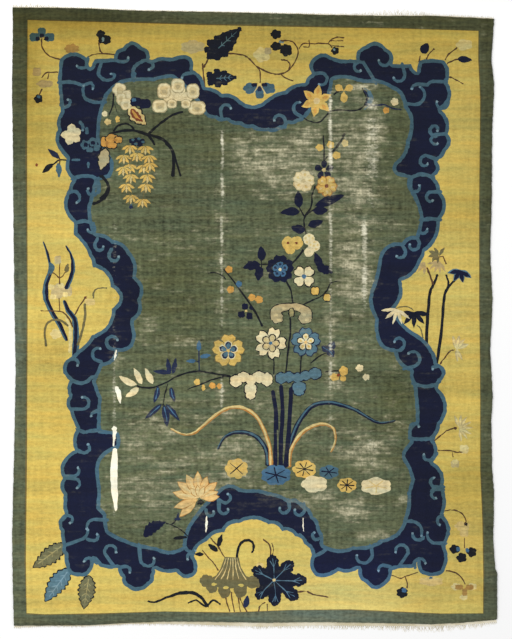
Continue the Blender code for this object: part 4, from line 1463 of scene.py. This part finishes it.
@dataclass
class WornWool(Finish):
    """Old wool pile: the dye of each shape, uneven dye lots, listed lighter and darker spots of tone, worn
    folds and bare wefts.
    """

    matted_dark: tuple[int, int, int] = (134, 132, 100)
    matted_pale: tuple[int, int, int] = (198, 191, 160)
    bare_weft: tuple[int, int, int] = (236, 231, 206)
    fold_waver: float = 4.0

    # Fold lines: place across the plan, half width, then stops of share down the rug and strength
    FOLDS = (
        (114.5, 2, ((0, 0), (0.3, 0), (0.36, 0.45), (0.44, 0.3), (0.54, 0.35), (0.6, 0.5), (0.68, 0.6),
            (0.82, 0.5), (0.86, 0))),
        (222, 1.7, ((0, 0), (0.19, 0.1), (0.21, 0.9), (0.3, 0.7), (0.33, 0.3), (0.35, 0.9), (0.48, 0.55),
            (0.59, 0.2), (0.61, 0.8), (0.64, 0.6), (0.66, 0))),
        (330.5, 1.9, ((0, 0), (0.13, 0.1), (0.15, 1), (0.25, 0.95), (0.3, 0.2), (0.34, 0.75), (0.5, 0.45),
            (0.56, 0.75), (0.8, 0))),
        (364.5, 2.8, ((0, 0), (0.33, 0.1), (0.36, 1), (0.4, 0.45), (0.44, 1), (0.47, 0.6), (0.52, 0))),
        (372, 6.5, ((0, 0), (0.13, 0.1), (0.16, 0.6), (0.24, 0.65), (0.3, 0.45), (0.36, 0.15), (0.66, 0.1),
            (0.72, 0.5), (0.78, 0))),
    )

    # Brightness down the rug, darker towards the top: share of the way from the top, half of the brightness
    AGE = (
        (0, 0.38), (0.22, 0.41), (0.5, 0.5), (0.8, 0.535), (1, 0.53),
    )

    def dress(self, box: Box) -> None:
        """Fills the node tree.

        Args:
            box: the lowest and highest corner of the carpet.
        """
        low, high = box
        size = high - low
        place = self.node("ShaderNodeTexCoord", output="Object")
        parts = self.node("ShaderNodeSeparateXYZ", inputs={"Vector": place})
        across = (parts.output("X") - low.x) * (1.0 / size.x)
        down = (high.y - parts.output("Y")) * (1.0 / size.y)
        dye = self.node("ShaderNodeAttribute", {"attribute_name": "dye"})
        thin = self.node("ShaderNodeAttribute", {"attribute_name": "thin"}, output="Fac")
        ground = self.node("ShaderNodeAttribute", {"attribute_name": "ground"}, output="Fac")
        # Per-corner brightness shift from the listed lighter and darker tone spots
        tone_spot = self.node("ShaderNodeAttribute", {"attribute_name": "tone_spot"}, output="Fac")

        lots = self.noise((0.4, 8.0, 1.0), 3.0, 0.6)
        stripes = self.noise((1.1, 32.0, 1.0), 2.0, 0.65, 5.0)
        patches = self.noise((1.6, 2.2, 1.0), 3.0, 0.55, 3.0)
        grain = self.noise((36.0, 78.0, 1.0), 1.0, 0.6, 2.0)
        warps = self.noise((52.0, 5.0, 1.0), 1.0, 0.5, 8.0)
        knots = self.noise((270.0, 310.0, 60.0), 1.0, 0.5)
        mottled = ground * 0.8 + 0.25
        tone = (lots - 0.5) * 0.7 + (patches - 0.5) * 0.4 + (knots - 0.5) * 0.5
        tone = tone + ((stripes - 0.5) * 1.0 + (grain - 0.5) * 1.4 + (warps - 0.5) * 0.8) * mottled
        # Darker towards the top, and a little darker towards the bottom right
        down_tone = self.node("ShaderNodeValToRGB", {"stops": self.AGE}, {"Fac": down})
        bright = (1.0 + tone) * down_tone * 2.0 * (1.0 - across * down * 0.2) * (1.0 + tone_spot)
        warmth = (self.noise((3.0, 22.0, 1.0), 3.0, 0.6, 13.0) - 0.5) * 0.45 - tone_spot * 0.2
        wool = self.mix(1.0, dye, self.tint(bright, warmth, tone_spot * 0.6), "MULTIPLY")

        runs = self.noise((5.0, 58.0, 1.0), 1.0, 0.6, 15.0)
        streaks = self.noise((19.0, 86.0, 1.0), 1.0, 0.65, 11.0)
        islands = self.noise((8.0, 13.0, 1.0), 3.0, 0.6, 5.0)
        blots = self.noise((26.0, 44.0, 1.0), 2.0, 0.6, 17.0)
        weave = self.noise((66.0, 88.0, 1.0), 1.0, 0.7, 6.0)
        threads = self.noise((86.0, 12.0, 1.0), 1.0, 0.6, 19.0)
        cloud = (thin + (islands - 0.5) * 1.2 + (blots - 0.5) * 0.9 + (runs - 0.5) * 0.9).between(0.18, 1.05)
        cloud = cloud * (ground * 0.85 + 0.15)
        fray = (streaks - 0.5) * 1.3 + (weave - 0.5) * 1.3 + (threads - 0.5) * 1.1
        veil = (cloud * (0.8 + fray)).larger(0.0).smaller(1.0)
        fold = self.folds(across, down, size)
        bare = fold * (0.35 + islands * 0.9) + (streaks - 0.5) * 0.6 + (weave - 0.5) * 0.6
        bare = bare.between(0.2, 1.05) * fold.between(0.0, 0.4)
        felt = (weave * 0.4 + cloud * 0.7).smaller(1.0)
        matted = self.mix(felt, as_linear(self.matted_dark), as_linear(self.matted_pale))
        worn = self.mix(bare, self.mix(veil, wool, matted), as_linear(self.bare_weft))
        self.set(Base_Color=worn, Roughness=0.92)
        self.shader.inputs["Specular IOR Level"].default_value = 0.1
        self.shader.inputs["Sheen Weight"].default_value = 0.08
        self.shader.inputs["Sheen Roughness"].default_value = 0.6
        height = knots * 0.6 + grain * 0.5 + (1.0 - veil.larger(bare)) * 0.7
        self.bump(height, 0.5, 0.002)

    def tint(self, value: Socket, warmth: Socket, cool: Socket) -> Socket:
        """A near grey of this brightness, more red where it is warm and more blue where it is cool."""
        blue = value * (1.0 - warmth) * (1.0 + cool)
        return self.node("ShaderNodeCombineColor", inputs={0: value * (1.0 + warmth), 1: value, 2: blue})

    def folds(self, across: Socket, down: Socket, size: Vector) -> Socket:
        """How much the old folds have worn the pile.

        Args:
            across: share of the way from the left edge.
            down: share of the way from the top edge.
            size: the carpet's size.

        Returns:
            The wear, from 0 to about 1.
        """
        plan_left = PLAN_MIDDLE[0] - size.x / PLAN_UNIT / 2
        plan_width = size.x / PLAN_UNIT
        waver = (self.noise((2.0, 5.0, 1.0), 2.0, 0.5, 2.0) - 0.5) * (self.fold_waver / plan_width)
        broken = self.noise((1.0, 16.0, 1.0), 2.0, 0.6, 9.0).between(0.3, 0.62)
        total: Socket | None = None
        for x, half, stops in self.FOLDS:
            away = (across + waver - (x - plan_left) / plan_width).absolute()
            line = 1.0 - away.between(0.0, half * 2.2 / plan_width)
            strength = self.node("ShaderNodeValToRGB", {"stops": stops}, {"Fac": down})
            share = line * strength * (broken * 0.5 + 0.5)
            total = share if total is None else total.larger(share)
        return total


@dataclass
class RawCotton(Finish):
    """Undyed cotton of the woven ends: rows of wefts, grey with age."""

    grey: tuple[int, int, int] = (206, 196, 164)
    pale: tuple[int, int, int] = (240, 234, 214)
    shade: tuple[int, int, int] = (170, 152, 112)

    def dress(self) -> None:
        """Fills the node tree."""
        blotches = self.noise((6.0, 9.0, 4.0), 3.0, 0.6)
        threads = self.noise((420.0, 260.0, 60.0), 2.0, 0.6, 4.0)
        ridges = self.noise((8.0, 520.0, 1.0), 1.0, 0.5, 1.0)
        colour = self.mix(blotches.between(0.3, 0.7), as_linear(self.grey), as_linear(self.pale))
        shaded = self.mix((threads - 0.4) * 0.5 + ridges * 0.25, colour, as_linear(self.shade))
        self.set(Base_Color=shaded, Roughness=0.85)
        self.shader.inputs["Sheen Weight"].default_value = 0.1
        self.bump(threads * 0.5 + ridges, 0.5, 0.0012)


def as_object(mesh: bmesh.types.BMesh, name: str) -> bpy.types.Object:
    """Turns a bmesh into an object of the scene and frees it.

    Args:
        mesh: the finished bmesh.
        name: of the object and its mesh.

    Returns:
        The object.
    """
    data = bpy.data.meshes.new(name)
    mesh.to_mesh(data)
    mesh.free()
    made = bpy.data.objects.new(name, data)
    bpy.context.scene.collection.objects.link(made)
    return made


def skin(mesh: bmesh.types.BMesh, rings: Sequence[Sequence[bmesh.types.BMVert]]) -> None:
    """Closes rings of corners into one tube with two ends.

    Args:
        mesh: the bmesh that holds them.
        rings: each ring's corners in the same order.
    """
    sides = len(rings[0])
    for before, after in zip(rings, rings[1:]):
        for k in range(sides):
            mesh.faces.new((before[k], before[(k + 1) % sides], after[(k + 1) % sides], after[k]))
    mesh.faces.new(rings[0])
    mesh.faces.new(rings[-1][::-1])


@dataclass
class PlanPlace:
    """Turns places on the plan into metres on the model."""

    middle_x: float
    middle_y: float

    def metres(self, places: Points) -> Points:
        """The model's x and y of places on the plan."""
        shift = (np.asarray(places) - PLAN_MIDDLE) * (PLAN_UNIT, -PLAN_UNIT)
        return shift + (self.middle_x, self.middle_y)


@dataclass
class Carpet:
    """The pile carpet: one closed cloth with the plan's shapes cut into it."""

    box: Box
    place: PlanPlace
    grid: float = 5.2
    grid_jitter: float = 0.6
    edge_step: float = 3.0
    edge_jitter: float = 0.25
    edge_seed: int = 11
    grid_seed: int = 5
    crease_half: float = 2.4
    column_gap: float = 2.2
    column_clearance: float = 3.4
    meet: float = 1e-4
    other_ground: float = 0.3
    thickness: float = 0.0085
    ripple: float = 0.0012
    back_lift: float = 0.0002
    back_ripple: float = 0.15

    # Edges on the plan: place along, place across
    LEFT_EDGE = (
        (7.5, 12.6), (36, 13), (84, 12.2), (150, 13), (228, 13.6), (300, 14.6), (372, 15.8), (420, 15),
        (468, 13.8), (540, 12.2), (588, 13), (625.5, 14),
    )
    RIGHT_EDGE = (
        (19, 494), (60, 491), (84, 494), (132, 492), (204, 491.5), (252, 490), (300, 492.5), (350, 490),
        (396, 492.5), (420, 491), (470, 492), (492, 494), (540, 493), (568, 495), (573, 497), (619.5, 497),
    )
    TOP_EDGE = (
        (12.6, 7.6), (60, 8), (100, 9.2), (140, 11), (200, 12), (260, 13.2), (320, 15), (380, 16),
        (430, 16), (494, 19),
    )
    BOTTOM_EDGE = (
        (14, 625.4), (90, 625), (130, 622.5), (165, 621.3), (210, 621.5), (260, 622.5), (320, 621.8),
        (380, 622.6), (430, 624), (460, 622.5), (497, 619.6),
    )
    # Thinned pile: x, y, half width, half height, strength
    WORN_PATCHES = (
        (254, 320, 260, 320, 0.14), (372, 130, 15, 34, 0.6), (360, 188, 26, 26, 0.6),
        (280, 158, 56, 36, 0.6), (366, 87, 16, 5, 0.75), (290, 140, 60, 14, 0.5), (350, 150, 40, 60, 0.5),
        (358, 226, 36, 12, 0.55), (354, 270, 24, 46, 0.6), (245, 156, 24, 10, 0.5),
        (345, 310, 30, 14, 0.32), (358, 328, 26, 26, 0.34), (176, 341, 52, 5, 0.5),
        (366, 452, 26, 22, 0.66), (392, 430, 14, 30, 0.36), (352, 510, 28, 16, 0.6),
        (376, 535, 22, 8, 0.55), (402, 497, 8, 14, 0.5), (170, 461, 56, 9, 0.5), (215, 470, 60, 26, 0.42),
        (150, 435, 38, 26, 0.46), (150, 490, 44, 26, 0.5), (190, 240, 60, 16, 0.28),
        (185, 415, 70, 20, 0.33), (242, 452, 34, 24, 0.52), (300, 500, 60, 12, 0.56),
        (330, 440, 60, 24, 0.36), (340, 395, 36, 16, 0.3), (195, 140, 34, 14, 0.12),
        (160, 520, 30, 14, 0.3), (222, 240, 8, 100, 0.36), (222, 380, 7, 60, 0.3), (330, 340, 9, 90, 0.38),
        (222, 394, 7, 12, 0.5), (330, 392, 8, 20, 0.5), (262, 405, 26, 10, 0.4), (330, 180, 8, 70, 0.5),
        (364, 260, 10, 40, 0.5), (115, 360, 7, 40, 0.4), (115, 300, 6, 60, 0.28), (200, 520, 12, 14, 0.4),
        (300, 230, 70, 8, 0.3), (150, 325, 14, 12, 0.5), (395, 360, 12, 30, 0.3),
    )
    # Lighter and darker spots of the pile's tone: x, y, half width, half height, share lighter
    TONE_SPOTS = (
        (60, 12, 100, 18, -0.34), (430, 14, 100, 20, -0.32), (120, 34, 150, 26, -0.22),
        (380, 40, 130, 30, -0.12), (30, 120, 30, 50, -0.2), (15, 350, 8, 70, 0.28),
        (488, 120, 8, 110, -0.26), (488, 380, 8, 160, -0.14), (340, 600, 70, 40, 0.3),
        (225, 618, 90, 8, 0.16), (470, 485, 40, 24, -0.18), (40, 440, 40, 120, -0.09),
        (175, 290, 50, 50, -0.15), (396, 400, 14, 34, -0.2), (455, 205, 40, 20, -0.1),
        (430, 395, 60, 20, -0.05), (440, 290, 40, 60, 0.05), (395, 140, 16, 40, -0.14),
        (25, 60, 14, 50, -0.2), (180, 138, 50, 26, -0.12),
    )
    # How much of the ground's mottling and wear each dye shows, and above how much the others do
    GROUNDS = {
        Dye.FIELD_GREEN: 1.0, Dye.BAND_GREEN: 0.8, Dye.GOLD: 0.14, Dye.NAVY: 0.06, Dye.BLUE: 0.25,
        Dye.BONE: 0.0,
    }
    # Creases: place across the plan and depth in metres
    CREASES = (
        (114.5, 0.0022), (222, 0.0015), (330.5, 0.002), (364.5, 0.001),
    )

    # Parts of the bake's layout: start and width of the top, of the back and of the rim's strip
    TOP_SPAN = (0.0, 0.90)
    BACK_SPAN = (0.91, 0.08)
    RIM_SPAN = (0.993, 0.005)

    def outline(self) -> Points:
        """The uneven edge.

        Returns:
            The outline, clockwise on the plan.
        """
        rng = random.Random(self.edge_seed)
        drawn = []
        for table, along_y, backwards in (
            (self.TOP_EDGE, False, False), (self.RIGHT_EDGE, True, False),
            (self.BOTTOM_EDGE, False, True), (self.LEFT_EDGE, True, True),
        ):
            places, across = zip(*table)
            row = []
            for s in np.arange(places[0], places[-1], self.edge_step):
                uneven = rng.uniform(-self.edge_jitter, self.edge_jitter)
                row.append((s, float(np.interp(s, places, across)) + uneven))
            row = row[::-1] if backwards else row
            drawn += [(a, s) if along_y else (s, a) for s, a in row]
        return np.array(drawn)

    def columns(self, low: float, high: float) -> list[float]:
        """Places the grid's columns, with three close together at each crease.

        Args:
            low: the first column across the plan.
            high: where the columns end.

        Returns:
            Their places across the plan, in order.
        """
        places = list(np.arange(low, high, self.grid))
        for x, _ in self.CREASES:
            places = [p for p in places if abs(p - x) > self.column_clearance]
            places += [x - self.column_gap, x, x + self.column_gap]
        return sorted(places)

    def cut(self, plan: Cartoon) -> tuple[Points, list[tuple[int, ...]], np.ndarray]:
        """Cuts the outline, the plan's shapes and a loose grid into triangles.

        Args:
            plan: the drawing.

        Returns:
            The corners on the plan, the triangles and each one's shape.
        """
        outline = self.outline()
        rng = random.Random(self.grid_seed)
        points: list[Vector] = []
        edges: list[tuple[int, int]] = []

        def ring(places: Points) -> None:
            """Adds one closed outline's points and edges.

            Args:
                places: the outline.
            """
            first = len(points)
            points.extend(Vector(p) for p in places)
            edges.extend((first + i, first + (i + 1) % len(places)) for i in range(len(places)))

        ring(outline)
        for shape in plan.shapes[1:]:
            ring(shape.outline)
        low, high = outline.min(axis=0), outline.max(axis=0)
        for x in self.columns(low[0] + 2, high[0] - 2):
            for y in np.arange(low[1] + 3, high[1] - 2, self.grid):
                points.append(Vector((x, y + rng.uniform(-self.grid_jitter, self.grid_jitter))))
        found = delaunay_2d_cdt(points, edges, [], 0, self.meet, False)
        corners = np.array([tuple(v) for v in found[0]])
        triangles = np.array([tuple(f) for f in found[2] if len(f) == 3])
        centres = corners[triangles].mean(axis=1)
        inside = Shape(Dye.GOLD, outline).covers(centres)
        triangles, centres = triangles[inside], centres[inside]
        owner = np.zeros(len(centres), dtype=int)
        for index, shape in enumerate(plan.shapes):
            owner[shape.covers(centres)] = index
        LOG.info("carpet: %d shapes, %d triangles", len(plan.shapes), len(triangles))
        return corners, [tuple(int(i) for i in t) for t in triangles], owner

    def height(self, x: float, y: float, plan_x: float) -> float:
        """How far the pile's surface stands off its mean.

        Args:
            x: place across the model in metres.
            y: place along the model in metres.
            plan_x: the same place across the plan.

        Returns:
            The rise in metres.
        """
        broad = noise.noise(Vector((x * 1.7, y * 1.9, 4.0)))
        fine = noise.noise(Vector((x * 5.0, y * 5.5, 9.0)))
        rise = self.ripple * (broad + 0.5 * fine)
        for crease, depth in self.CREASES:
            rise -= depth * max(0.0, 1 - abs(plan_x - crease) / self.crease_half)
        return rise

    @staticmethod
    def spots(rows: Sequence[tuple], places: Points) -> np.ndarray:
        """How strongly soft oval spots act.

        Args:
            rows: each spot's x, y, half width, half height and strength.
            places: points on the plan.

        Returns:
            A row of strengths for each spot, one for each place.
        """
        found = []
        for x, y, half_x, half_y, strength in rows:
            away = ((places[:, 0] - x) / half_x) ** 2 + ((places[:, 1] - y) / half_y) ** 2
            found.append(strength / (1.0 + away**2))
        return np.array(found)

    def build(self, plan: Cartoon) -> bpy.types.Object:
        """Makes the closed cloth and its layers.

        Args:
            plan: the drawing.

        Returns:
            The carpet's object.
        """
        corners, triangles, owner = self.cut(plan)
        metres = self.place.metres(corners)
        thin = self.spots(self.WORN_PATCHES, corners).max(axis=0)
        # Per-corner brightness shift from the listed lighter and darker tone spots
        tone_spot = self.spots(self.TONE_SPOTS, corners).sum(axis=0)
        used = sorted({i for t in triangles for i in t})
        mesh = bmesh.new()
        thin_layer = mesh.verts.layers.float.new("thin")
        tone_spot_layer = mesh.verts.layers.float.new("tone_spot")
        dye_layer = mesh.loops.layers.float_color.new("dye")
        ground_layer = mesh.faces.layers.float.new("ground")
        uv_layer = mesh.loops.layers.uv.new("OFBake")
        verts = {}
        for i in used:
            x, y = metres[i]
            vert = mesh.verts.new((x, y, self.thickness + self.height(x, y, corners[i][0])))
            vert[thin_layer] = thin[i]
            vert[tone_spot_layer] = tone_spot[i]
            verts[i] = vert
        colours = [as_linear(shape.dye.value) for shape in plan.shapes]
        grounds = [self.GROUNDS.get(shape.dye, self.other_ground) for shape in plan.shapes]
        for triangle, shape in zip(triangles, owner):
            face = mesh.faces.new([verts[i] for i in triangle])
            face.normal_update()
            if face.normal.z < 0:
                face.normal_flip()
            face.smooth = True
            face[ground_layer] = grounds[shape]
            for loop in face.loops:
                loop[dye_layer] = colours[shape]
        top = mesh.faces[:]
        low, high = self.box
        size = high - low
        made = bmesh.ops.extrude_face_region(mesh, geom=top, use_keep_orig=True)
        back = {g for g in made["geom"] if isinstance(g, bmesh.types.BMFace)}
        for vert in (g for g in made["geom"] if isinstance(g, bmesh.types.BMVert)):
            rise = vert.co.z - self.thickness + self.ripple * 1.5
            vert.co.z = self.back_lift + self.back_ripple * rise
        bmesh.ops.reverse_faces(mesh, faces=list(back))
        tops = set(top)
        for face in mesh.faces:
            start, width = self.TOP_SPAN if face in tops else self.BACK_SPAN
            for loop in face.loops:
                u = (loop.vert.co.x - low.x) / size.x
                v = (loop.vert.co.y - low.y) / size.y
                if face not in tops and face not in back:
                    upper = loop.vert.co.z > self.thickness / 2
                    loop[uv_layer].uv = (self.RIM_SPAN[0] + self.RIM_SPAN[1] * upper, (u + v) / 2)
                else:
                    loop[uv_layer].uv = (start + width * min(max(u, 0.0), 1.0), min(max(v, 0.0), 1.0))
        bmesh.ops.recalc_face_normals(mesh, faces=mesh.faces[:])
        return as_object(mesh, "carpet_pile")


@dataclass
class WovenEnd:
    """One end's plain-woven strip and its loose warps, over its CAD solid."""

    name: str
    node: str
    outward: int
    seed: int
    strands: int
    stations: int = 240
    seam: float = 0.0006
    floor_gap: float = 0.0002
    inner_top: float = 0.0028
    outer_top: float = 0.0022

    # Width of the woven strip by the end it is at: shares of the way along, widths in metres
    STRIP = {
        1: ((0, 1), (0.0035, 0.0035)),
        -1: (
            (0, 0.06, 0.24, 0.3, 0.5, 0.74, 0.86, 0.97, 1),
            (0.01, 0.004, 0.006, 0.012, 0.022, 0.018, 0.012, 0.014, 0.012),
        ),
    }
    # Mean length of the loose warps, in the same rows
    REACH = {
        1: (
            (0, 0.04, 0.1, 0.45, 0.7, 0.79, 0.88, 1),
            (0.012, 0.018, 0.005, 0.004, 0.008, 0.026, 0.01, 0.008),
        ),
        -1: (
            (0, 0.06, 0.3, 0.5, 0.74, 0.86, 0.97, 1),
            (0.008, 0.006, 0.008, 0.012, 0.018, 0.026, 0.018, 0.01),
        ),
    }

    def build(self, place: PlanPlace, carpet: Carpet, finish: RawCotton) -> bpy.types.Object:
        """Makes the strip and the strands.

        Args:
            place: turns the plan into metres.
            carpet: whose edge the strip follows.
            finish: the cotton.

        Returns:
            The end's object.
        """
        low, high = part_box(self.node)
        table = carpet.TOP_EDGE if self.outward > 0 else carpet.BOTTOM_EDGE
        along, across = zip(*table)
        rng = random.Random(self.seed)
        mesh = bmesh.new()
        stations = np.linspace(along[0] + 0.6, along[-1] - 0.6, self.stations)
        edge = place.metres(np.stack([stations, np.interp(stations, along, across)], axis=1))
        inner, outer = [], []
        for i, (x, y) in enumerate(edge):
            width = self.at(self.STRIP, i / (len(edge) - 1)) * rng.uniform(0.9, 1.1)
            inner.append((x, y + self.outward * self.seam))
            outer.append((x, y + self.outward * (self.seam + width)))
        rings = []
        for (ax, ay), (bx, by) in zip(inner, outer):
            lift = 0.0004 + 0.0006 * noise.noise(Vector((ax * 9, 0, self.seed)))
            corners = (
                (ax, ay, self.floor_gap), (ax, ay, self.inner_top),
                (bx, by, self.outer_top + lift), (bx, by, self.floor_gap),
            )
            rings.append([mesh.verts.new(corner) for corner in corners])
        skin(mesh, rings)
        for i in range(self.strands):
            share = (i + rng.uniform(0.1, 0.9)) / self.strands
            self.strand(mesh, rng, share, outer, (low, high))
        bmesh.ops.recalc_face_normals(mesh, faces=mesh.faces[:])
        made = as_object(mesh, self.name)
        made.data.materials.append(finish.material)
        return made

    def at(self, table: dict, share: float) -> float:
        """This end's value of a table at this share of the way along, in metres."""
        return float(np.interp(share, *table[self.outward]))

    def strand(
        self, mesh: bmesh.types.BMesh, rng: random.Random, share: float,
        outer: Sequence[Place], box: Box,
    ) -> None:
        """Lays one loose warp on the floor.

        Args:
            mesh: the end's mesh.
            rng: the end's dice.
            share: place along the end.
            outer: the strip's outer edge.
            box: the CAD solid's corners, which the strand stays in.
        """
        x, y = outer[min(int(share * len(outer)), len(outer) - 1)]
        length = self.at(self.REACH, share) * rng.uniform(0.4, 1.6)
        aside = rng.uniform(-0.6, 0.6)
        curl = rng.uniform(-0.5, 0.5)
        radius = rng.uniform(0.0007, 0.0012)
        rings = []
        for t in (0.0, 0.35, 0.7, 1.0):
            px = x + length * (aside * t + curl * t * t)
            py = y - self.outward * 0.001 + self.outward * length * t
            px = min(max(px, box[0].x), box[1].x)
            py = min(max(py, box[0].y + radius), box[1].y - radius)
            thick = radius * (1 - 0.6 * t)
            lift = 0.0014 * (1 - 0.5 * t)
            ring = []
            for a in (math.pi / 2, math.pi * 7 / 6, math.pi * 11 / 6):
                corner = (px + thick * math.cos(a), py, lift + thick * math.sin(a) + thick)
                ring.append(mesh.verts.new(corner))
            rings.append(ring)
        skin(mesh, rings)


@dataclass
class Studio:
    """The pale floor, the soft light and the camera straight above."""

    place: PlanPlace
    lens: float = 100.0
    sensor: float = 36.0
    far: float = 100.0
    floor_reach: float = 14.0
    floor_white: float = 0.93
    sky: float = 0.79
    lamp_side: float = 5.0
    lamp_watts: float = 248.0
    lamp_place: tuple[float, float, float] = (-3.0, 2.5, 6.0)

    def build(self) -> None:
        """Makes the floor, the lights and the camera."""
        scene = bpy.context.scene
        scene.view_settings.view_transform = "Standard"
        floor = self.floor()
        self.lights()
        self.camera()

    def floor(self) -> bpy.types.Object:
        """A wide white floor.

        Returns:
            The floor's object.
        """
        mesh = bmesh.new()
        bmesh.ops.create_grid(mesh, x_segments=1, y_segments=1, size=self.floor_reach)
        floor = as_object(mesh, "floor")
        finish = Finish("white_floor")
        finish.set(Base_Color=(self.floor_white,) * 3 + (1.0,), Roughness=0.9)
        finish.shader.inputs["Specular IOR Level"].default_value = 0.0
        floor.data.materials.append(finish.material)
        return floor

    def lights(self) -> None:
        """A white sky and one large soft lamp."""
        world = bpy.data.worlds.new("studio")
        bpy.context.scene.world = world
        world.use_nodes = True
        background = world.node_tree.nodes["Background"]
        background.inputs["Color"].default_value = (1.0, 1.0, 1.0, 1.0)
        background.inputs["Strength"].default_value = self.sky
        lamp = bpy.data.lights.new("softbox", "AREA")
        lamp.shape, lamp.size, lamp.size_y = "RECTANGLE", self.lamp_side, self.lamp_side
        lamp.energy = self.lamp_watts
        holder = bpy.data.objects.new("softbox", lamp)
        holder.location = self.lamp_place
        holder.rotation_euler = (Vector((0, 0, 0)) - holder.location).to_track_quat("-Z", "Y").to_euler()
        bpy.context.scene.collection.objects.link(holder)

    def camera(self) -> None:
        """A camera that sees the plan as the photograph does."""
        lens = bpy.data.cameras.new("camera")
        lens.lens, lens.sensor_width = self.lens, self.sensor
        lens.clip_end = self.far
        camera = bpy.data.objects.new("camera", lens)
        x, y = self.place.metres(points_of([IMAGE_MIDDLE]))[0]
        distance = IMAGE_HEIGHT_UNITS * PLAN_UNIT * self.lens / self.sensor
        camera.location = (x, y, distance)
        bpy.context.scene.collection.objects.link(camera)
        bpy.context.scene.camera = camera


def main() -> None:
    """Builds and dresses the rug."""
    logging.basicConfig(level=logging.INFO, format="%(name)s: %(message)s")
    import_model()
    low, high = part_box("carpet")
    box = (Vector(low), Vector(high))
    place = PlanPlace((box[0].x + box[1].x) / 2, (box[0].y + box[1].y) / 2)

    plan = Cartoon()
    border = GoldBorder()
    border.draw(plan)
    CloudFrame().draw(plan)
    border.draw_over(plan)
    FlowerField().draw(plan)
    OldTears().draw(plan)

    wool = WornWool("worn_wool")
    wool.dress(box)
    cotton = RawCotton("raw_cotton")
    cotton.dress()

    carpet = Carpet(box, place)
    pile = carpet.build(plan)
    pile.data.materials.append(wool.material)
    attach(pile, "root")
    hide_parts("carpet")
    LOG.info("%s: %d faces", pile.name, len(pile.data.polygons))

    for name, node, outward, seed, strands in (
        ("woven_end_bottom", "fringe_bottom", -1, 3, 900), ("woven_end_top", "fringe_top", 1, 4, 700),
    ):
        end = WovenEnd(name, node, outward, seed, strands).build(place, carpet, cotton)
        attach(end, "root")
        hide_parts(node)
        LOG.info("%s: %d faces", end.name, len(end.data.polygons))

    Studio(place).build()


if __name__ == "__main__":
    main()
